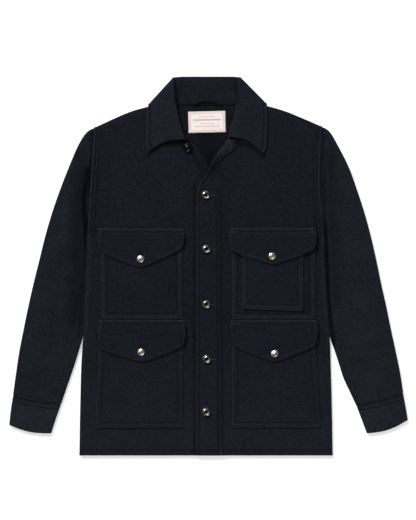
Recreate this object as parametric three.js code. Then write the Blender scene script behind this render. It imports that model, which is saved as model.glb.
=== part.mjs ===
// A wool mackinaw jacket, buttoned and laid flat on its back, in the pieces that a maker cuts and sews.
// Millimetres. The back lies on the plane z = 0, +Z points up out of the chest and +Y points to the collar.
// Right and left are the wearer's, so the right front and right sleeve have negative x.
// Every cloth piece is a wall: a grid of points on its middle surface, with half its thickness on each side.
import * as THREE from "three";

// Driving dimensions
const CLOTH = 2.4; // thickness of the wool
const COLLAR_CLOTH = 3.2; // two plies of it, pressed
const LAY = 0.4; // clearance between a piece and what it lies on
const SEAM = 0.6; // clearance between two pieces that are sewn edge to edge
const BODY_THICK = 7.2; // front and back together, laid flat
const HEM_Y = -402; // the bottom edge
const LAP = 2.8; // how far the left front rises to pass over the right one
const LAP_FROM = 20; // x where it starts to settle from there
const LAP_TO = 46; // x where it lies flat again
const COLLAR_LIFT = 3.9; // how far the collar's fall, lying under the back neck, lifts what lies on it
const LIFT_FROM_Y = 242; // the lift starts here, going up
const LIFT_TO_Y = 325; // and is full here
const LIFT_FULL_X = 129; // it is full this far to each side of the middle of the neck
const LIFT_END_X = 190; // and gone here
const NECK_X = -1.5; // middle of the neck
const ROLL_RADIUS = 2.2; // middle surface of the cloth where the collar turns over
const ARMHOLE_SEAM = 0.6; // from the armhole line to the sleeve
const SLEEVE_CLEAR = 1; // between a sleeve and the side seam that it lies against
const BUTTON_RADIUS = 9.5;
const SNAP_RADIUS = 7.75;

// What follows from them
const RIM_RADIUS = (BODY_THICK - CLOTH) / 2; // middle surface where cloth turns round a side or shoulder
const RIM_MID = BODY_THICK / 2;

// Soft ridges in the upper layer, from one end to the other: half width and height.
const FOLDS = [
  { x0: -246, y0: 244, x1: -249, y1: 92, half: 22, high: 3.4 },
  { x0: -286, y0: 200, x1: -300, y1: 30, half: 30, high: 4 },
  { x0: -299, y0: -28, x1: -301, y1: -44, half: 34, high: 3 },
  { x0: -322, y0: 40, x1: -356, y1: -130, half: 34, high: 3.4 },
  { x0: -350, y0: -140, x1: -366, y1: -240, half: 32, high: 2.6 },
  { x0: 243, y0: 250, x1: 240, y1: 110, half: 22, high: 2.4 },
  { x0: 284, y0: 205, x1: 304, y1: 20, half: 30, high: 3.8 },
  { x0: 320, y0: 10, x1: 346, y1: -150, half: 34, high: 3.2 },
  { x0: 352, y0: -160, x1: 364, y1: -236, half: 32, high: 2.4 },
  { x0: -150, y0: 196, x1: -150, y1: 130, half: 64, high: 1.6 },
  { x0: 140, y0: 196, x1: 140, y1: 130, half: 64, high: 1.4 },
  { x0: -150, y0: 10, x1: -150, y1: -320, half: 92, high: 2 },
  { x0: 145, y0: 10, x1: 145, y1: -320, half: 92, high: 2 },
];

// Side seams, from the underarm to the hem.
const SIDES = [
  { y: 63.6, right: -257.6, left: 244.9 },
  { y: 4, right: -259.7, left: 247.6 },
  { y: -57, right: -262.9, left: 251.2 },
  { y: -119, right: -265.4, left: 255.5 },
  { y: -163, right: -267.5, left: 258.5 },
  { y: -208, right: -270.3, left: 259.7 },
  { y: -284, right: -272.4, left: 261.8 },
  { y: HEM_Y, right: -274.5, left: 264 },
];

// Shoulder seams, from the armhole to the neck.
const SHOULDERS = {
  right: [[-242.7, 293.6], [-168.5, 326.5], [-128.2, 338.1], [-102.8, 344.5]],
  left: [[241.7, 295.7], [168.6, 326.5], [130, 338.1], [99.7, 344.5]],
};
const ARMHOLE_BOW = { right: 0, left: 6 }; // how far each armhole curves in towards the neck

// Neckline of the fronts, from the shoulder to the centre front.
const NECKLINES = {
  right: [[-102.8, 344.5], [-95.8, 324.3], [-85.8, 303.1], [-75.2, 283], [-60.4, 267.1], [-48, 264.4],
    [-35.8, 261.4]],
  left: [[99.7, 344.5], [92.2, 324.3], [81.6, 303.1], [69, 282.5], [55, 269.2], [47, 268.4], [41, 269.4]],
};
const BACK_NECK = [[-102.8, 344.5], [-68.9, 341.7], [-1, 340.2], [64.7, 341.7], [99.7, 344.5]];

// Front edges, from the neckline to the hem. The left one lies over the right one, and rolls back at the top.
const FRONT_EDGES = {
  right: [[-35.8, 261.4], [-26.5, 250.1], [-11.6, 228.9], [0, 208.8], [9.6, 186.5], [14, 165],
    [15.5, 140], [15.9, 110], [15.9, 60], [15.9, HEM_Y]],
  left: [[41, 269.4], [33.7, 259], [20.4, 242.5], [9.6, 225.5], [0.7, 208.6], [-7.4, 192.9], [-19.1, 171.7],
    [-23.7, 152.6], [-25.2, 118.7], [-25.2, 60], [-25.2, HEM_Y]],
};

// The rolled-back corner of the left front: its roll line and its free edge.
const LAPEL = [
  { rollX: 42, rollY: 268, edgeX: 54, edgeY: 268 },
  { rollX: 34, rollY: 258, edgeX: 56.5, edgeY: 249 },
  { rollX: 27.5, rollY: 250, edgeX: 47, edgeY: 242.5 },
  { rollX: 20.9, rollY: 241.5, edgeX: 36, edgeY: 235.5 },
  { rollX: 10.6, rollY: 225.5, edgeX: 21.5, edgeY: 223 },
  { rollX: 1.7, rollY: 208.6, edgeX: 9, edgeY: 208.5 },
  { rollX: -6.4, rollY: 192.9, edgeX: 0, edgeY: 193.5 },
  { rollX: -15.2, rollY: 177, edgeX: -12, edgeY: 177.5 },
];

// Sleeves from the armhole to the cuff: where each section starts on the outer edge and ends on the inner
// one. Where inX is left out the inner edge lies against the side seam. Bow is how far a section curves to
// the cuff.
const SLEEVES = {
  right: [
    { outX: -242.7, outY: 293.6, inY: 63.6, bow: 0 },
    { outX: -257.6, outY: 284.1, inY: 48.7, bow: 1 },
    { outX: -273.5, outY: 260.7, inY: 33.9, bow: 2 },
    { outX: -295.7, outY: 209.9, inY: 4, bow: 4 },
    { outX: -314.8, outY: 161.1, inY: -27.6, bow: 5 },
    { outX: -331.8, outY: 112.3, inY: -57, bow: 5 },
    { outX: -346.6, outY: 61.5, inY: -86.9, bow: 5 },
    { outX: -359.3, outY: 10.6, inY: -119, bow: 5 },
    { outX: -372, outY: -40.3, inY: -148.4, bow: 4 },
    { outX: -382.6, outY: -86.9, inX: -274.5, inY: -178.1, bow: 4 },
    { outX: -392.2, outY: -133.6, inX: -283.5, inY: -207.8, bow: 3 },
    { outX: -401.7, outY: -182.3, inX: -293.6, inY: -237.5, bow: 3 },
    { outX: -409.1, outY: -231.1, inX: -303.1, inY: -265, bow: 3 },
    { outX: -415.5, outY: -277.7, inX: -312.7, inY: -293.6, bow: 3 },
  ],
  left: [
    { outX: 241.7, outY: 295.7, inY: 63.6, bow: -6 },
    { outX: 255.5, outY: 286.2, inY: 48.7, bow: -4 },
    { outX: 272.4, outY: 258.6, inY: 33.9, bow: -1 },
    { outX: 297, outY: 209.9, inY: 4, bow: 2 },
    { outX: 314.8, outY: 161.1, inY: -27.6, bow: 4 },
    { outX: 330.7, outY: 112.3, inY: -57, bow: 5 },
    { outX: 344.5, outY: 61.5, inY: -86.9, bow: 5 },
    { outX: 356.2, outY: 10.6, inY: -119, bow: 5 },
    { outX: 366.8, outY: -40.3, inY: -148.4, bow: 4 },
    { outX: 377.4, outY: -86.9, inX: 267, inY: -178.1, bow: 4 },
    { outX: 386.9, outY: -133.6, inX: 276.7, inY: -207.8, bow: 3 },
    { outX: 397.5, outY: -182.3, inX: 286.2, inY: -237.5, bow: 3 },
    { outX: 407.1, outY: -229, inX: 298.9, inY: -265, bow: 3 },
    { outX: 413.4, outY: -271.4, inX: 313.8, inY: -296.8, bow: 3 },
  ],
};
const CUFFS = {
  right: [
    { outX: -415.5, outY: -277.7, inX: -312.7, inY: -293.6, bow: 3 },
    { outX: -419.9, outY: -307.4, inX: -322.4, inY: -320.1, bow: 5 },
    { outX: -423, outY: -337.1, inX: -333.9, inY: -355.1, bow: 6 },
  ],
  left: [
    { outX: 413.4, outY: -271.4, inX: 313.8, inY: -296.8, bow: 3 },
    { outX: 418.3, outY: -298.9, inX: 324.4, inY: -324.4, bow: 5 },
    { outX: 423, outY: -326.5, inX: 336, inY: -355.1, bow: 7 },
  ],
};

// The collar from the right front end, round the back, to the left front end. At each station the cloth runs
// from the neck seam up to the roll line and down to the free edge, as x and y pairs. Turn is the way its
// outside faces: 90 is up, 180 is out past the side of the neck and 270 is down to the floor. Bow curves the
// front ends.
const COLLAR = [
  { neck: [-62.5, 269.2], roll: [-49.8, 267.9], edge: [-124.5, 244.8], bow: 7.5, turn: 90 },
  { neck: [-67.5, 275], roll: [-52.5, 276.5], edge: [-131, 256], bow: 5.5, turn: 90 },
  { neck: [-75.2, 283], roll: [-57.7, 292.5], edge: [-131.5, 271], bow: 3, turn: 90 },
  { neck: [-85.8, 303.1], roll: [-64.5, 318], edge: [-131.3, 294.7], bow: 0, turn: 90 },
  { neck: [-95.8, 324.3], roll: [-70, 345.5], edge: [-130.8, 318], bow: 0, turn: 90 },
  { neck: [-100.8, 338.1], roll: [-72.5, 373.1], edge: [-128.6, 333.9], bow: 0, turn: 90 },
  { neck: [-102.8, 344.5], roll: [-69.5, 394], edge: [-123.5, 337], bow: 0, turn: 135 },
  { neck: [-102.8, 344.5], roll: [-68.5, 395.5], edge: [-122.5, 337], bow: 0, turn: 180 },
  { neck: [-102, 344.3], roll: [-66.5, 397], edge: [-121.5, 337], bow: 0, turn: 225 },
  { neck: [-92, 343.4], roll: [-62.5, 399.6], edge: [-107, 334], bow: 0, turn: 270 },
  { neck: [-68.9, 341.7], roll: [-47.7, 400.2], edge: [-77.4, 330.7], bow: 0, turn: 270 },
  { neck: [-35, 340.6], roll: [-24.4, 400.3], edge: [-39, 328.6], bow: 0, turn: 270 },
  { neck: [-1, 340.2], roll: [-1, 400.3], edge: [-1, 328.2], bow: 0, turn: 270 },
  { neck: [33, 340.6], roll: [22.4, 400.3], edge: [37, 328.6], bow: 0, turn: 270 },
  { neck: [64.7, 341.7], roll: [45.2, 400.2], edge: [75.4, 330.7], bow: 0, turn: 270 },
  { neck: [88, 343.4], roll: [57.5, 399.6], edge: [103, 334], bow: 0, turn: 270 },
  { neck: [98.9, 344.3], roll: [60.5, 397], edge: [117.5, 338], bow: 0, turn: 225 },
  { neck: [99.7, 344.5], roll: [61.5, 395.5], edge: [118.8, 338], bow: 0, turn: 180 },
  { neck: [99.7, 344.5], roll: [62.5, 394], edge: [120, 337.8], bow: 0, turn: 135 },
  { neck: [97.5, 338.1], roll: [63.6, 373.1], edge: [122.8, 333.9], bow: 0, turn: 90 },
  { neck: [92.2, 324.3], roll: [60.5, 345.5], edge: [124.5, 318], bow: 0, turn: 90 },
  { neck: [81.6, 303.1], roll: [54.1, 315.9], edge: [124.3, 292.5], bow: 0, turn: 90 },
  { neck: [69, 284.1], roll: [46.7, 292.5], edge: [123.4, 265], bow: 4, turn: 90 },
  { neck: [61.5, 277.5], roll: [44.3, 281.5], edge: [121, 249.5], bow: 7.5, turn: 90 },
  { neck: [55.5, 272.8], roll: [42.5, 273.2], edge: [115.5, 238.5], bow: 10, turn: 90 },
];

// Patch pockets: their corners, from the right of the body to its left. Layer counts the pieces of cloth
// under each one on its front.
const PATCHES = [
  {
    name: "pocket_chest_right", layer: 0,
    topX: [-227.9, -56.2], topY: [64, 64], lowX: [-227.3, -55.5], lowY: [-113, -113],
  },
  {
    name: "pocket_lower_right", layer: 0,
    topX: [-231.5, -54], topY: [-142, -142], lowX: [-239.8, -54], lowY: [-343.5, -342.8],
  },
  {
    name: "pocket_chest_left", layer: 0,
    topX: [49.8, 225.2], topY: [64, 64], lowX: [50.2, 226.4], lowY: [-113, -113],
  },
  {
    name: "pocket_lower_left", layer: 0,
    topX: [50.5, 223.7], topY: [-142, -142], lowX: [50.5, 238.5], lowY: [-342.8, -342.8],
  },
  {
    name: "pocket_small_left", layer: 1,
    topX: [71, 200.8], topY: [46, 46], lowX: [71.8, 200.8], lowY: [-91.2, -95.4],
  },
];

// Pocket flaps: sides, sewn edge, the corner at each side and the rounded point. Layers are what it lies on.
const FLAPS = [
  {
    name: "flap_chest_right", layers: 1,
    x: [-233.2, -53.6], top: 79.5, corners: [31.8, 38.1], point: [-144, -3.2],
  },
  {
    name: "flap_lower_right", layers: 1,
    x: [-232.1, -51.9], top: -114.5, corners: [-176, -169.6], point: [-142, -203.1],
  },
  {
    name: "flap_chest_left", layers: 2,
    x: [45.6, 225.8], top: 80.5, corners: [31.8, 36], point: [137.8, 2.9],
  },
  {
    name: "flap_lower_left", layers: 1,
    x: [48.4, 228.6], top: -114.5, corners: [-167.5, -167.5], point: [138.9, -203.3],
  },
];
const FLAP_SIDE_BULGE = 3;
const FLAP_POINT_POWER = 1.2; // 1 gives a sharp point, 2 a round one
const FLAP_CORNER = 9; // radius of the lower corners
const FLAP_SETTLE = 12; // length over which a flap climbs onto its pocket
const SNAPS = [
  { name: "snap_chest_right", x: -143.7, y: 14.6, flap: 0 },
  { name: "snap_lower_right", x: -142.7, y: -182.5, flap: 1 },
  { name: "snap_chest_left", x: 134.4, y: 21, flap: 2 },
  { name: "snap_lower_left", x: 139.9, y: -185.5, flap: 3 },
];
const BUTTONS = [
  { name: "button_collar", x: -44.9, y: 250.6, side: "right" },
  { name: "button_1", x: -6.8, y: 150.9, side: "left" },
  { name: "button_2", x: -5.3, y: 36, side: "left" },
  { name: "button_3", x: -5.3, y: -80.6, side: "left" },
  { name: "button_4", x: -3.8, y: -196.8, side: "left" },
  { name: "button_5", x: -5.7, y: -309.1, side: "left" },
];
const LABEL = { x: -3.2, y: 305.4, width: 79, height: 45, thick: 1, turn: 1.4 };
const LOOP = { fromX: -36, toX: 28, y: 344, rise: 11, width: 7, thick: 1.2, slack: 1, endShare: 0.7 };

// Small mathematical helpers
const mix = (a, b, t) => a + (b - a) * t;
const clamp01 = (t) => Math.min(1, Math.max(0, t));
const ease = (a, b, x) => {
  const t = clamp01((x - a) / (b - a));
  return t * t * (3 - 2 * t);
};
const at2 = (ends, t) => mix(ends[0], ends[1], t);
const steps = (n) => Array.from({ length: n + 1 }, (_, i) => i / n);
const vec = (x, y, z = 0) => new THREE.Vector3(x, y, z);

// A smooth curve through [x, y] points: a function of 0 to 1 by length.
function curve(points) {
  const line = new THREE.CatmullRomCurve3(points.map(([x, y]) => vec(x, y)), false, "centripetal");
  line.arcLengthDivisions = 400;
  return (t) => line.getPointAt(clamp01(t));
}

// Two curves end to end, meeting at the parameter `at`.
const joined = (first, second, at) => (t) => (t < at ? first(t / at) : second((t - at) / (1 - at)));

// Height of the soft ridges in the upper layer at a place.
function relief(x, y) {
  let high = 0;
  for (const f of FOLDS) {
    const dx = f.x1 - f.x0;
    const dy = f.y1 - f.y0;
    const along = clamp01(((x - f.x0) * dx + (y - f.y0) * dy) / (dx * dx + dy * dy));
    const away = Math.hypot(x - f.x0 - along * dx, y - f.y0 - along * dy) / f.half;
    if (away < 1) high += f.high * (1 - away * away) ** 2;
  }
  return high;
}

function collarLift(x, y) {
  const sideways = 1 - ease(LIFT_FULL_X, LIFT_END_X, Math.abs(x - NECK_X));
  return COLLAR_LIFT * ease(LIFT_FROM_Y, LIFT_TO_Y, y) * sideways;
}

const lapLift = (x, side) => (side === "left" ? LAP * (1 - ease(LAP_FROM, LAP_TO, x)) : 0);
const frontTop = (x, y, side) => BODY_THICK + relief(x, y) + collarLift(x, y) + lapLift(x, side);
const backTop = (x, y) => CLOTH + collarLift(x, y);

// The side seam's x at a height.
function sideX(side, y) {
  const below = SIDES.findIndex((row, i) => i > 0 && row.y <= y);
  const i = y >= SIDES[0].y ? 1 : Math.max(1, below);
  const a = SIDES[i - 1];
  const b = SIDES[i];
  return mix(a[side], b[side], clamp01((a.y - y) / (a.y - b.y)));
}

// The direction of a row of points at its k-th point, curved on to the very end where the row isn't a ring.
function slope(point, k, count, ring) {
  if (ring || (k > 0 && k < count - 1)) return point(k + 1).clone().sub(point(k - 1));
  const way = k === 0 ? 1 : -1;
  const ends = point(k + way).clone().multiplyScalar(4).addScaledVector(point(k), -3);
  const tangent = count > 2 ? ends.sub(point(k + 2 * way)) : point(k + way).clone().sub(point(k));
  return tangent.multiplyScalar(way);
}

// A closed solid from rows of middle-surface points. A ring joins each row's last point to its first.
function wall(rows, thick, ring = false) {
  const nj = rows.length;
  const ni = rows[0].length;
  const at = (j, i) => rows[j][ring ? (i + ni) % ni : Math.min(ni - 1, Math.max(0, i))];
  const positions = [];
  for (const half of [thick / 2, -thick / 2])
    for (let j = 0; j < nj; j++)
      for (let i = 0; i < ni; i++) {
        const across = slope((k) => at(j, k), i, ni, ring);
        const down = slope((k) => at(k, i), j, nj, false);
        const normal = across.cross(down).normalize();
        const p = rows[j][i];
        positions.push(p.x + normal.x * half, p.y + normal.y * half, p.z + normal.z * half);
      }
  const faces = [];
  const quad = (a, b, c, d) => faces.push(a, b, c, a, c, d);
  const id = (layer, j, i) => layer * nj * ni + j * ni + (i % ni);
  for (let j = 0; j < nj - 1; j++)
    for (let i = 0; i < (ring ? ni : ni - 1); i++) {
      quad(id(0, j, i), id(0, j, i + 1), id(0, j + 1, i + 1), id(0, j + 1, i));
      quad(id(1, j, i), id(1, j + 1, i), id(1, j + 1, i + 1), id(1, j, i + 1));
    }
  for (let i = 0; i < (ring ? ni : ni - 1); i++) {
    quad(id(0, 0, i), id(1, 0, i), id(1, 0, i + 1), id(0, 0, i + 1));
    quad(id(0, nj - 1, i), id(0, nj - 1, i + 1), id(1, nj - 1, i + 1), id(1, nj - 1, i));
  }
  if (!ring)
    for (let j = 0; j < nj - 1; j++) {
      quad(id(0, j, 0), id(0, j + 1, 0), id(1, j + 1, 0), id(1, j, 0));
      quad(id(0, j, ni - 1), id(1, j, ni - 1), id(1, j + 1, ni - 1), id(0, j + 1, ni - 1));
    }
  return closed(positions, faces);
}

// The same faces as a BufferGeometry, turned to point outwards if they point in.
function closed(positions, faces) {
  let volume = 0;
  const p = (k) => vec(positions[3 * k], positions[3 * k + 1], positions[3 * k + 2]);
  for (let k = 0; k < faces.length; k += 3)
    volume += p(faces[k]).dot(p(faces[k + 1]).cross(p(faces[k + 2])));
  if (volume < 0) faces.reverse();
  const geometry = new THREE.BufferGeometry();
  geometry.setAttribute("position", new THREE.Float32BufferAttribute(positions, 3));
  geometry.setIndex(faces);
  geometry.computeVertexNormals();
  return geometry;
}

// Where cloth that turns round an edge lies, at a distance along the cloth from its seam.
// Round is 1 where the edge turns, and 0 where the cloth stays flat up to its seam.
function rim(along, round) {
  const angle = Math.min(along / RIM_RADIUS, Math.PI / 2);
  const past = Math.max(0, along - (RIM_RADIUS * Math.PI) / 2);
  const turned = CLOTH / 2 + RIM_RADIUS * (1 - Math.cos(angle)) + past;
  return { inset: mix(along, turned, round), drop: round * RIM_RADIUS * (1 - Math.sin(angle)) };
}
const RIM_STEPS = [SEAM / 2, 1.4, 2.6, (RIM_RADIUS * Math.PI) / 2, 9, 18, 30];

const rimSteps = RIM_STEPS.map((along) => ({ along }));
const lastAlong = RIM_STEPS.at(-1);

// Points between four edge curves, each a function of 0 to 1.
function between(low, top, start, end, u, v) {
  const across = low(u).multiplyScalar(1 - v).add(top(u).multiplyScalar(v));
  const up = start(v).multiplyScalar(1 - u).add(end(v).multiplyScalar(u));
  const a = low(0).multiplyScalar((1 - u) * (1 - v));
  const b = low(1).multiplyScalar(u * (1 - v));
  const c = top(0).multiplyScalar((1 - u) * v);
  const d = top(1).multiplyScalar(u * v);
  return across.add(up).sub(a).sub(b).sub(c).sub(d);
}

// One edge of the body from the hem to the shoulder: the side seam, and then the armhole.
const UNDERARM_SHARE = 0.67; // of the way up from the hem
function bodyEdge(side) {
  const seam = curve([...SIDES].reverse().map((row) => [row[side], row.y]));
  const armhole = (t) => armholePoint(side, 1 - t);
  return joined(seam, armhole, UNDERARM_SHARE);
}
function armholePoint(side, t) {
  const from = SHOULDERS[side][0];
  const to = [SIDES[0][side], SIDES[0].y];
  const bow = ARMHOLE_BOW[side] * Math.sin(Math.PI * t) * (side === "left" ? -1 : 1);
  return vec(mix(from[0], to[0], t) + bow, mix(from[1], to[1], t));
}

// How fully a body panel turns round at its bodyEdge: at the side seam, and not at the armhole.
const UNDERARM_FADE = { from: 22, to: 2 }; // below the underarm
const sideRound = (y) => 1 - ease(SIDES[0].y - UNDERARM_FADE.from, SIDES[0].y - UNDERARM_FADE.to, y);

const BODY_ROWS = [0, 0.08, 0.17, 0.26, 0.35, 0.44, 0.52, 0.58, 0.64, 0.7, 0.76, 0.82, 0.865,
  0.895, 0.925, 0.952]; // up from the hem
const FRONT_COLUMNS = { // from the side seam to the front edge
  right: [0.1, 0.2, 0.3, 0.4, 0.5, 0.6, 0.7, 0.78, 0.86, 0.94, 1],
  left: [0.1, 0.2, 0.3, 0.4, 0.5, 0.6, 0.68, 0.75, 0.8, 0.86, 0.93, 1],
};
const SHOULDER_SHARE = 0.56; // of the top edge of a front, from the armhole to the neck
const SHOULDER_FADE = 0.05; // share over which the shoulder's turn fades out at the neck

// A front: side seam to centre front, hem to shoulder and neckline.
function front(side) {
  const start = bodyEdge(side);
  const shoulder = curve(SHOULDERS[side]);
  const topEdge = joined(shoulder, curve(NECKLINES[side]), SHOULDER_SHARE);
  const edge = curve([...FRONT_EDGES[side]].reverse());
  const low = (u) => vec(mix(SIDES.at(-1)[side], FRONT_EDGES[side].at(-1)[0], u), HEM_Y);
  const place = (u, v) => between(low, topEdge, start, edge, u, v);
  const us = [...rimSteps, ...FRONT_COLUMNS[side].map((share) => ({ share }))];
  const vs = [...BODY_ROWS.map((share) => ({ share })), ...[...rimSteps].reverse()];
  return wall(vs.map((row) => us.map((column) => {
    const vGuess = row.share ?? 1;
    const rowStart = place(0, vGuess);
    const width = rowStart.distanceTo(place(1, vGuess));
    const flank = rim(column.along ?? lastAlong, sideRound(rowStart.y));
    const inset = flank.inset / width;
    const u = column.along !== undefined ? inset : mix(inset, 1, column.share);
    const height = place(u, 0).distanceTo(place(u, 1));
    const shoulderRound = 1 - ease(SHOULDER_SHARE, SHOULDER_SHARE + SHOULDER_FADE, u);
    const crown = rim(row.along ?? lastAlong, shoulderRound);
    const top = 1 - crown.inset / height;
    const v = row.along !== undefined ? top : top * row.share;
    const p = place(u, v);
    const sideDrop = column.along !== undefined ? flank.drop : 0;
    const crownDrop = row.along !== undefined ? crown.drop : 0;
    p.z = frontTop(p.x, p.y, side) - CLOTH / 2 - Math.max(sideDrop, crownDrop);
    return p;
  })), CLOTH);
}

const BACK_COLUMNS = 10;
const BACK_SHOULDER_SHARE = 0.31; // of the top edge of the back, for each shoulder
const BACK_FADE = 0.03; // share over which the shoulder's turn fades out at the neck

// The back: side seam to side seam, hem to shoulders and neck.
function back() {
  const shoulderRight = curve(SHOULDERS.right);
  const shoulderLeft = curve(SHOULDERS.left);
  const neck = curve(BACK_NECK);
  const neckShare = (1 - 2 * BACK_SHOULDER_SHARE) / (1 - BACK_SHOULDER_SHARE);
  const rest = joined(neck, (t) => shoulderLeft(1 - t), neckShare);
  const topEdge = joined(shoulderRight, rest, BACK_SHOULDER_SHARE);
  const low = (u) => vec(mix(SIDES.at(-1).right, SIDES.at(-1).left, u), HEM_Y);
  const place = (u, v) => between(low, topEdge, bodyEdge("right"), bodyEdge("left"), u, v);
  const inner = steps(BACK_COLUMNS).slice(1, -1).map((share) => ({ share }));
  const us = [...rimSteps, ...inner, ...[...rimSteps].reverse().map((s) => ({ ...s, far: true }))];
  const vs = [...BODY_ROWS.map((share) => ({ share })), ...[...rimSteps].reverse()];
  return wall(vs.map((row) => us.map((column) => {
    const vGuess = row.share ?? 1;
    const rowStart = place(0, vGuess);
    const width = rowStart.distanceTo(place(1, vGuess));
    const flank = rim(column.along ?? lastAlong, sideRound(rowStart.y));
    const inset = flank.inset / width;
    const flankU = column.far ? 1 - inset : inset;
    const u = column.share !== undefined ? mix(inset, 1 - inset, column.share) : flankU;
    const height = place(u, 0).distanceTo(place(u, 1));
    const fromMiddle = Math.abs(u - 0.5);
    const neckEnd = 0.5 - BACK_SHOULDER_SHARE;
    const shoulderRound = ease(neckEnd - BACK_FADE, neckEnd, fromMiddle);
    const crown = rim(row.along ?? lastAlong, shoulderRound);
    const top = 1 - crown.inset / height;
    const v = row.along !== undefined ? top : top * row.share;
    const p = place(u, v);
    const sideRise = column.share === undefined ? flank.drop : 0;
    const crownRise = row.along !== undefined ? crown.drop : 0;
    p.z = backTop(p.x, p.y) - CLOTH / 2 + Math.max(sideRise, crownRise);
    return p;
  })), CLOTH);
}

// One closed section of a flattened tube: over the top from the outer edge to the inner one, and back below.
const TUBE_ARC = 3;
const TUBE_TOP = 9;
const TUBE_UNDER = 4;
function tubeSection(row, side, shift) {
  const inX = row.inX ?? sideX(side, row.inY) + (side === "left" ? SLEEVE_CLEAR : -SLEEVE_CLEAR);
  const out = vec(row.outX, row.outY);
  const inside = vec(inX, row.inY);
  const dir = inside.clone().sub(out);
  const width = dir.length();
  dir.normalize();
  const toCuff = vec(dir.y, -dir.x).multiplyScalar(side === "left" ? -1 : 1);
  const plan = (s) => {
    const bow = row.bow * Math.sin(Math.PI * clamp01(s / width));
    return out.clone().addScaledVector(dir, s).addScaledVector(toCuff, bow + shift);
  };
  const edge = CLOTH / 2 + RIM_RADIUS;
  const arc = steps(TUBE_ARC * 2).map((k) => k * Math.PI); // from under the outer edge, round and over it
  const points = [];
  const add = (s, level) => {
    const p = plan(s);
    const high = frontTop(p.x, p.y, "right") - BODY_THICK;
    p.z = RIM_MID + RIM_RADIUS * level + (level > 0 ? high * level : 0);
    points.push(p);
  };
  arc.forEach((a) => add(edge - RIM_RADIUS * Math.sin(a), -Math.cos(a)));
  steps(TUBE_TOP).slice(1, -1).forEach((t) => add(mix(edge, width - edge, t), 1));
  arc.forEach((a) => add(width - edge + RIM_RADIUS * Math.sin(a), Math.cos(a)));
  steps(TUBE_UNDER).slice(1, -1).forEach((t) => add(mix(width - edge, edge, t), -1));
  return points;
}

function sleeve(side) {
  const rows = SLEEVES[side];
  return wall(rows.map((row, j) => {
    const shift = j === 0 ? ARMHOLE_SEAM : j === rows.length - 1 ? -SEAM / 2 : 0;
    return tubeSection(row, side, shift);
  }), CLOTH, true);
}

function cuff(side) {
  return wall(CUFFS[side].map((row, j) => tubeSection(row, side, j === 0 ? SEAM / 2 : 0)), CLOTH, true);
}

// The collar's section at one station, from the neck seam over the roll line to the free edge.
const STAND_STEPS = [0, 0.5, 1];
const ROLL_STEPS = [0.25, 0.5, 0.75];
const FALL_STEPS = [0, 0.2, 0.4, 0.6, 0.8, 1];
const NECK_CLEAR = 1.6; // at the fronts, where the fall hides the seam
const EDGE_LIFT = 0.5; // keeps the free edge clear of the shoulder that it wraps
const STAND_RISE = 0.9; // how much higher the roll line is than the neck seam
const STAND_SLOPE = STAND_RISE / 60; // where the stand is 60 deep, at the back of the neck
const FALL_CLEAR = 0.2; // extra room under the fall, between the edges that it is strung from
const OVER_LAPEL = 2.9; // what the left end climbs to lie on the rolled-back front
const LAPEL_X = { from: 60, to: 74 }; // it comes down again between these
const LAPEL_Y = { from: 276, to: 292 }; // and between these, going up

function underFall(x, y) {
  const side = x > 0 ? "left" : "right";
  const nearLapel = (1 - ease(LAPEL_X.from, LAPEL_X.to, x)) * (1 - ease(LAPEL_Y.from, LAPEL_Y.to, y));
  const lapel = side === "left" ? OVER_LAPEL * nearLapel : 0;
  return frontTop(x, y, side) + lapel + LAY + COLLAR_CLOTH / 2;
}

function collarSection(s) {
  const turn = (s.turn * Math.PI) / 180;
  const dir = s.roll.clone().sub(s.neck).normalize();
  const out = vec(-dir.y, dir.x).multiplyScalar(Math.sign(-s.neck.x));
  const normal = vec(0, 0, Math.sin(turn)).addScaledVector(out, -Math.cos(turn));
  const lift = collarLift(s.neck.x, s.neck.y);
  const neckMid = RIM_MID + lift + RIM_RADIUS * Math.sin(turn);
  const outward = -Math.cos(turn) * RIM_RADIUS;
  const neck = s.neck.clone().setZ(neckMid).addScaledVector(out, outward)
    .addScaledVector(dir, s.turn > 180 ? SEAM : NECK_CLEAR);
  const roll = s.roll.clone().setZ(neckMid + STAND_RISE).addScaledVector(out, outward);
  const turnIn = roll.clone().addScaledVector(dir, -ROLL_RADIUS);
  const fallStart = turnIn.clone().addScaledVector(normal, 2 * ROLL_RADIUS);
  const overTop = underFall(s.edge.x, s.edge.y) + EDGE_LIFT;
  const onFloor = COLLAR_CLOTH / 2;
  const edgeRadius = (overTop - onFloor) / 2;
  const edge = s.edge.clone().setZ(onFloor + edgeRadius * (1 + Math.sin(turn)))
    .addScaledVector(out, -Math.cos(turn) * edgeRadius);
  const fallDir = edge.clone().sub(fallStart).setZ(0).normalize();
  const upFront = vec(-fallDir.y, fallDir.x);
  if (upFront.y < 0) upFront.negate();
  const points = STAND_STEPS.map((t) => neck.clone().lerp(turnIn, t));
  for (const t of ROLL_STEPS) {
    const a = t * Math.PI;
    points.push(turnIn.clone()
      .addScaledVector(normal, ROLL_RADIUS * (1 - Math.cos(a)))
      .addScaledVector(dir, ROLL_RADIUS * Math.sin(a)));
  }
  for (const t of FALL_STEPS) {
    const p = fallStart.clone().lerp(edge, t).addScaledVector(upFront, s.bow * Math.sin(Math.PI * t));
    if (s.turn === 90) p.z = Math.max(p.z, underFall(p.x, p.y) + FALL_CLEAR);
    points.push(p);
  }
  return points;
}

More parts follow.
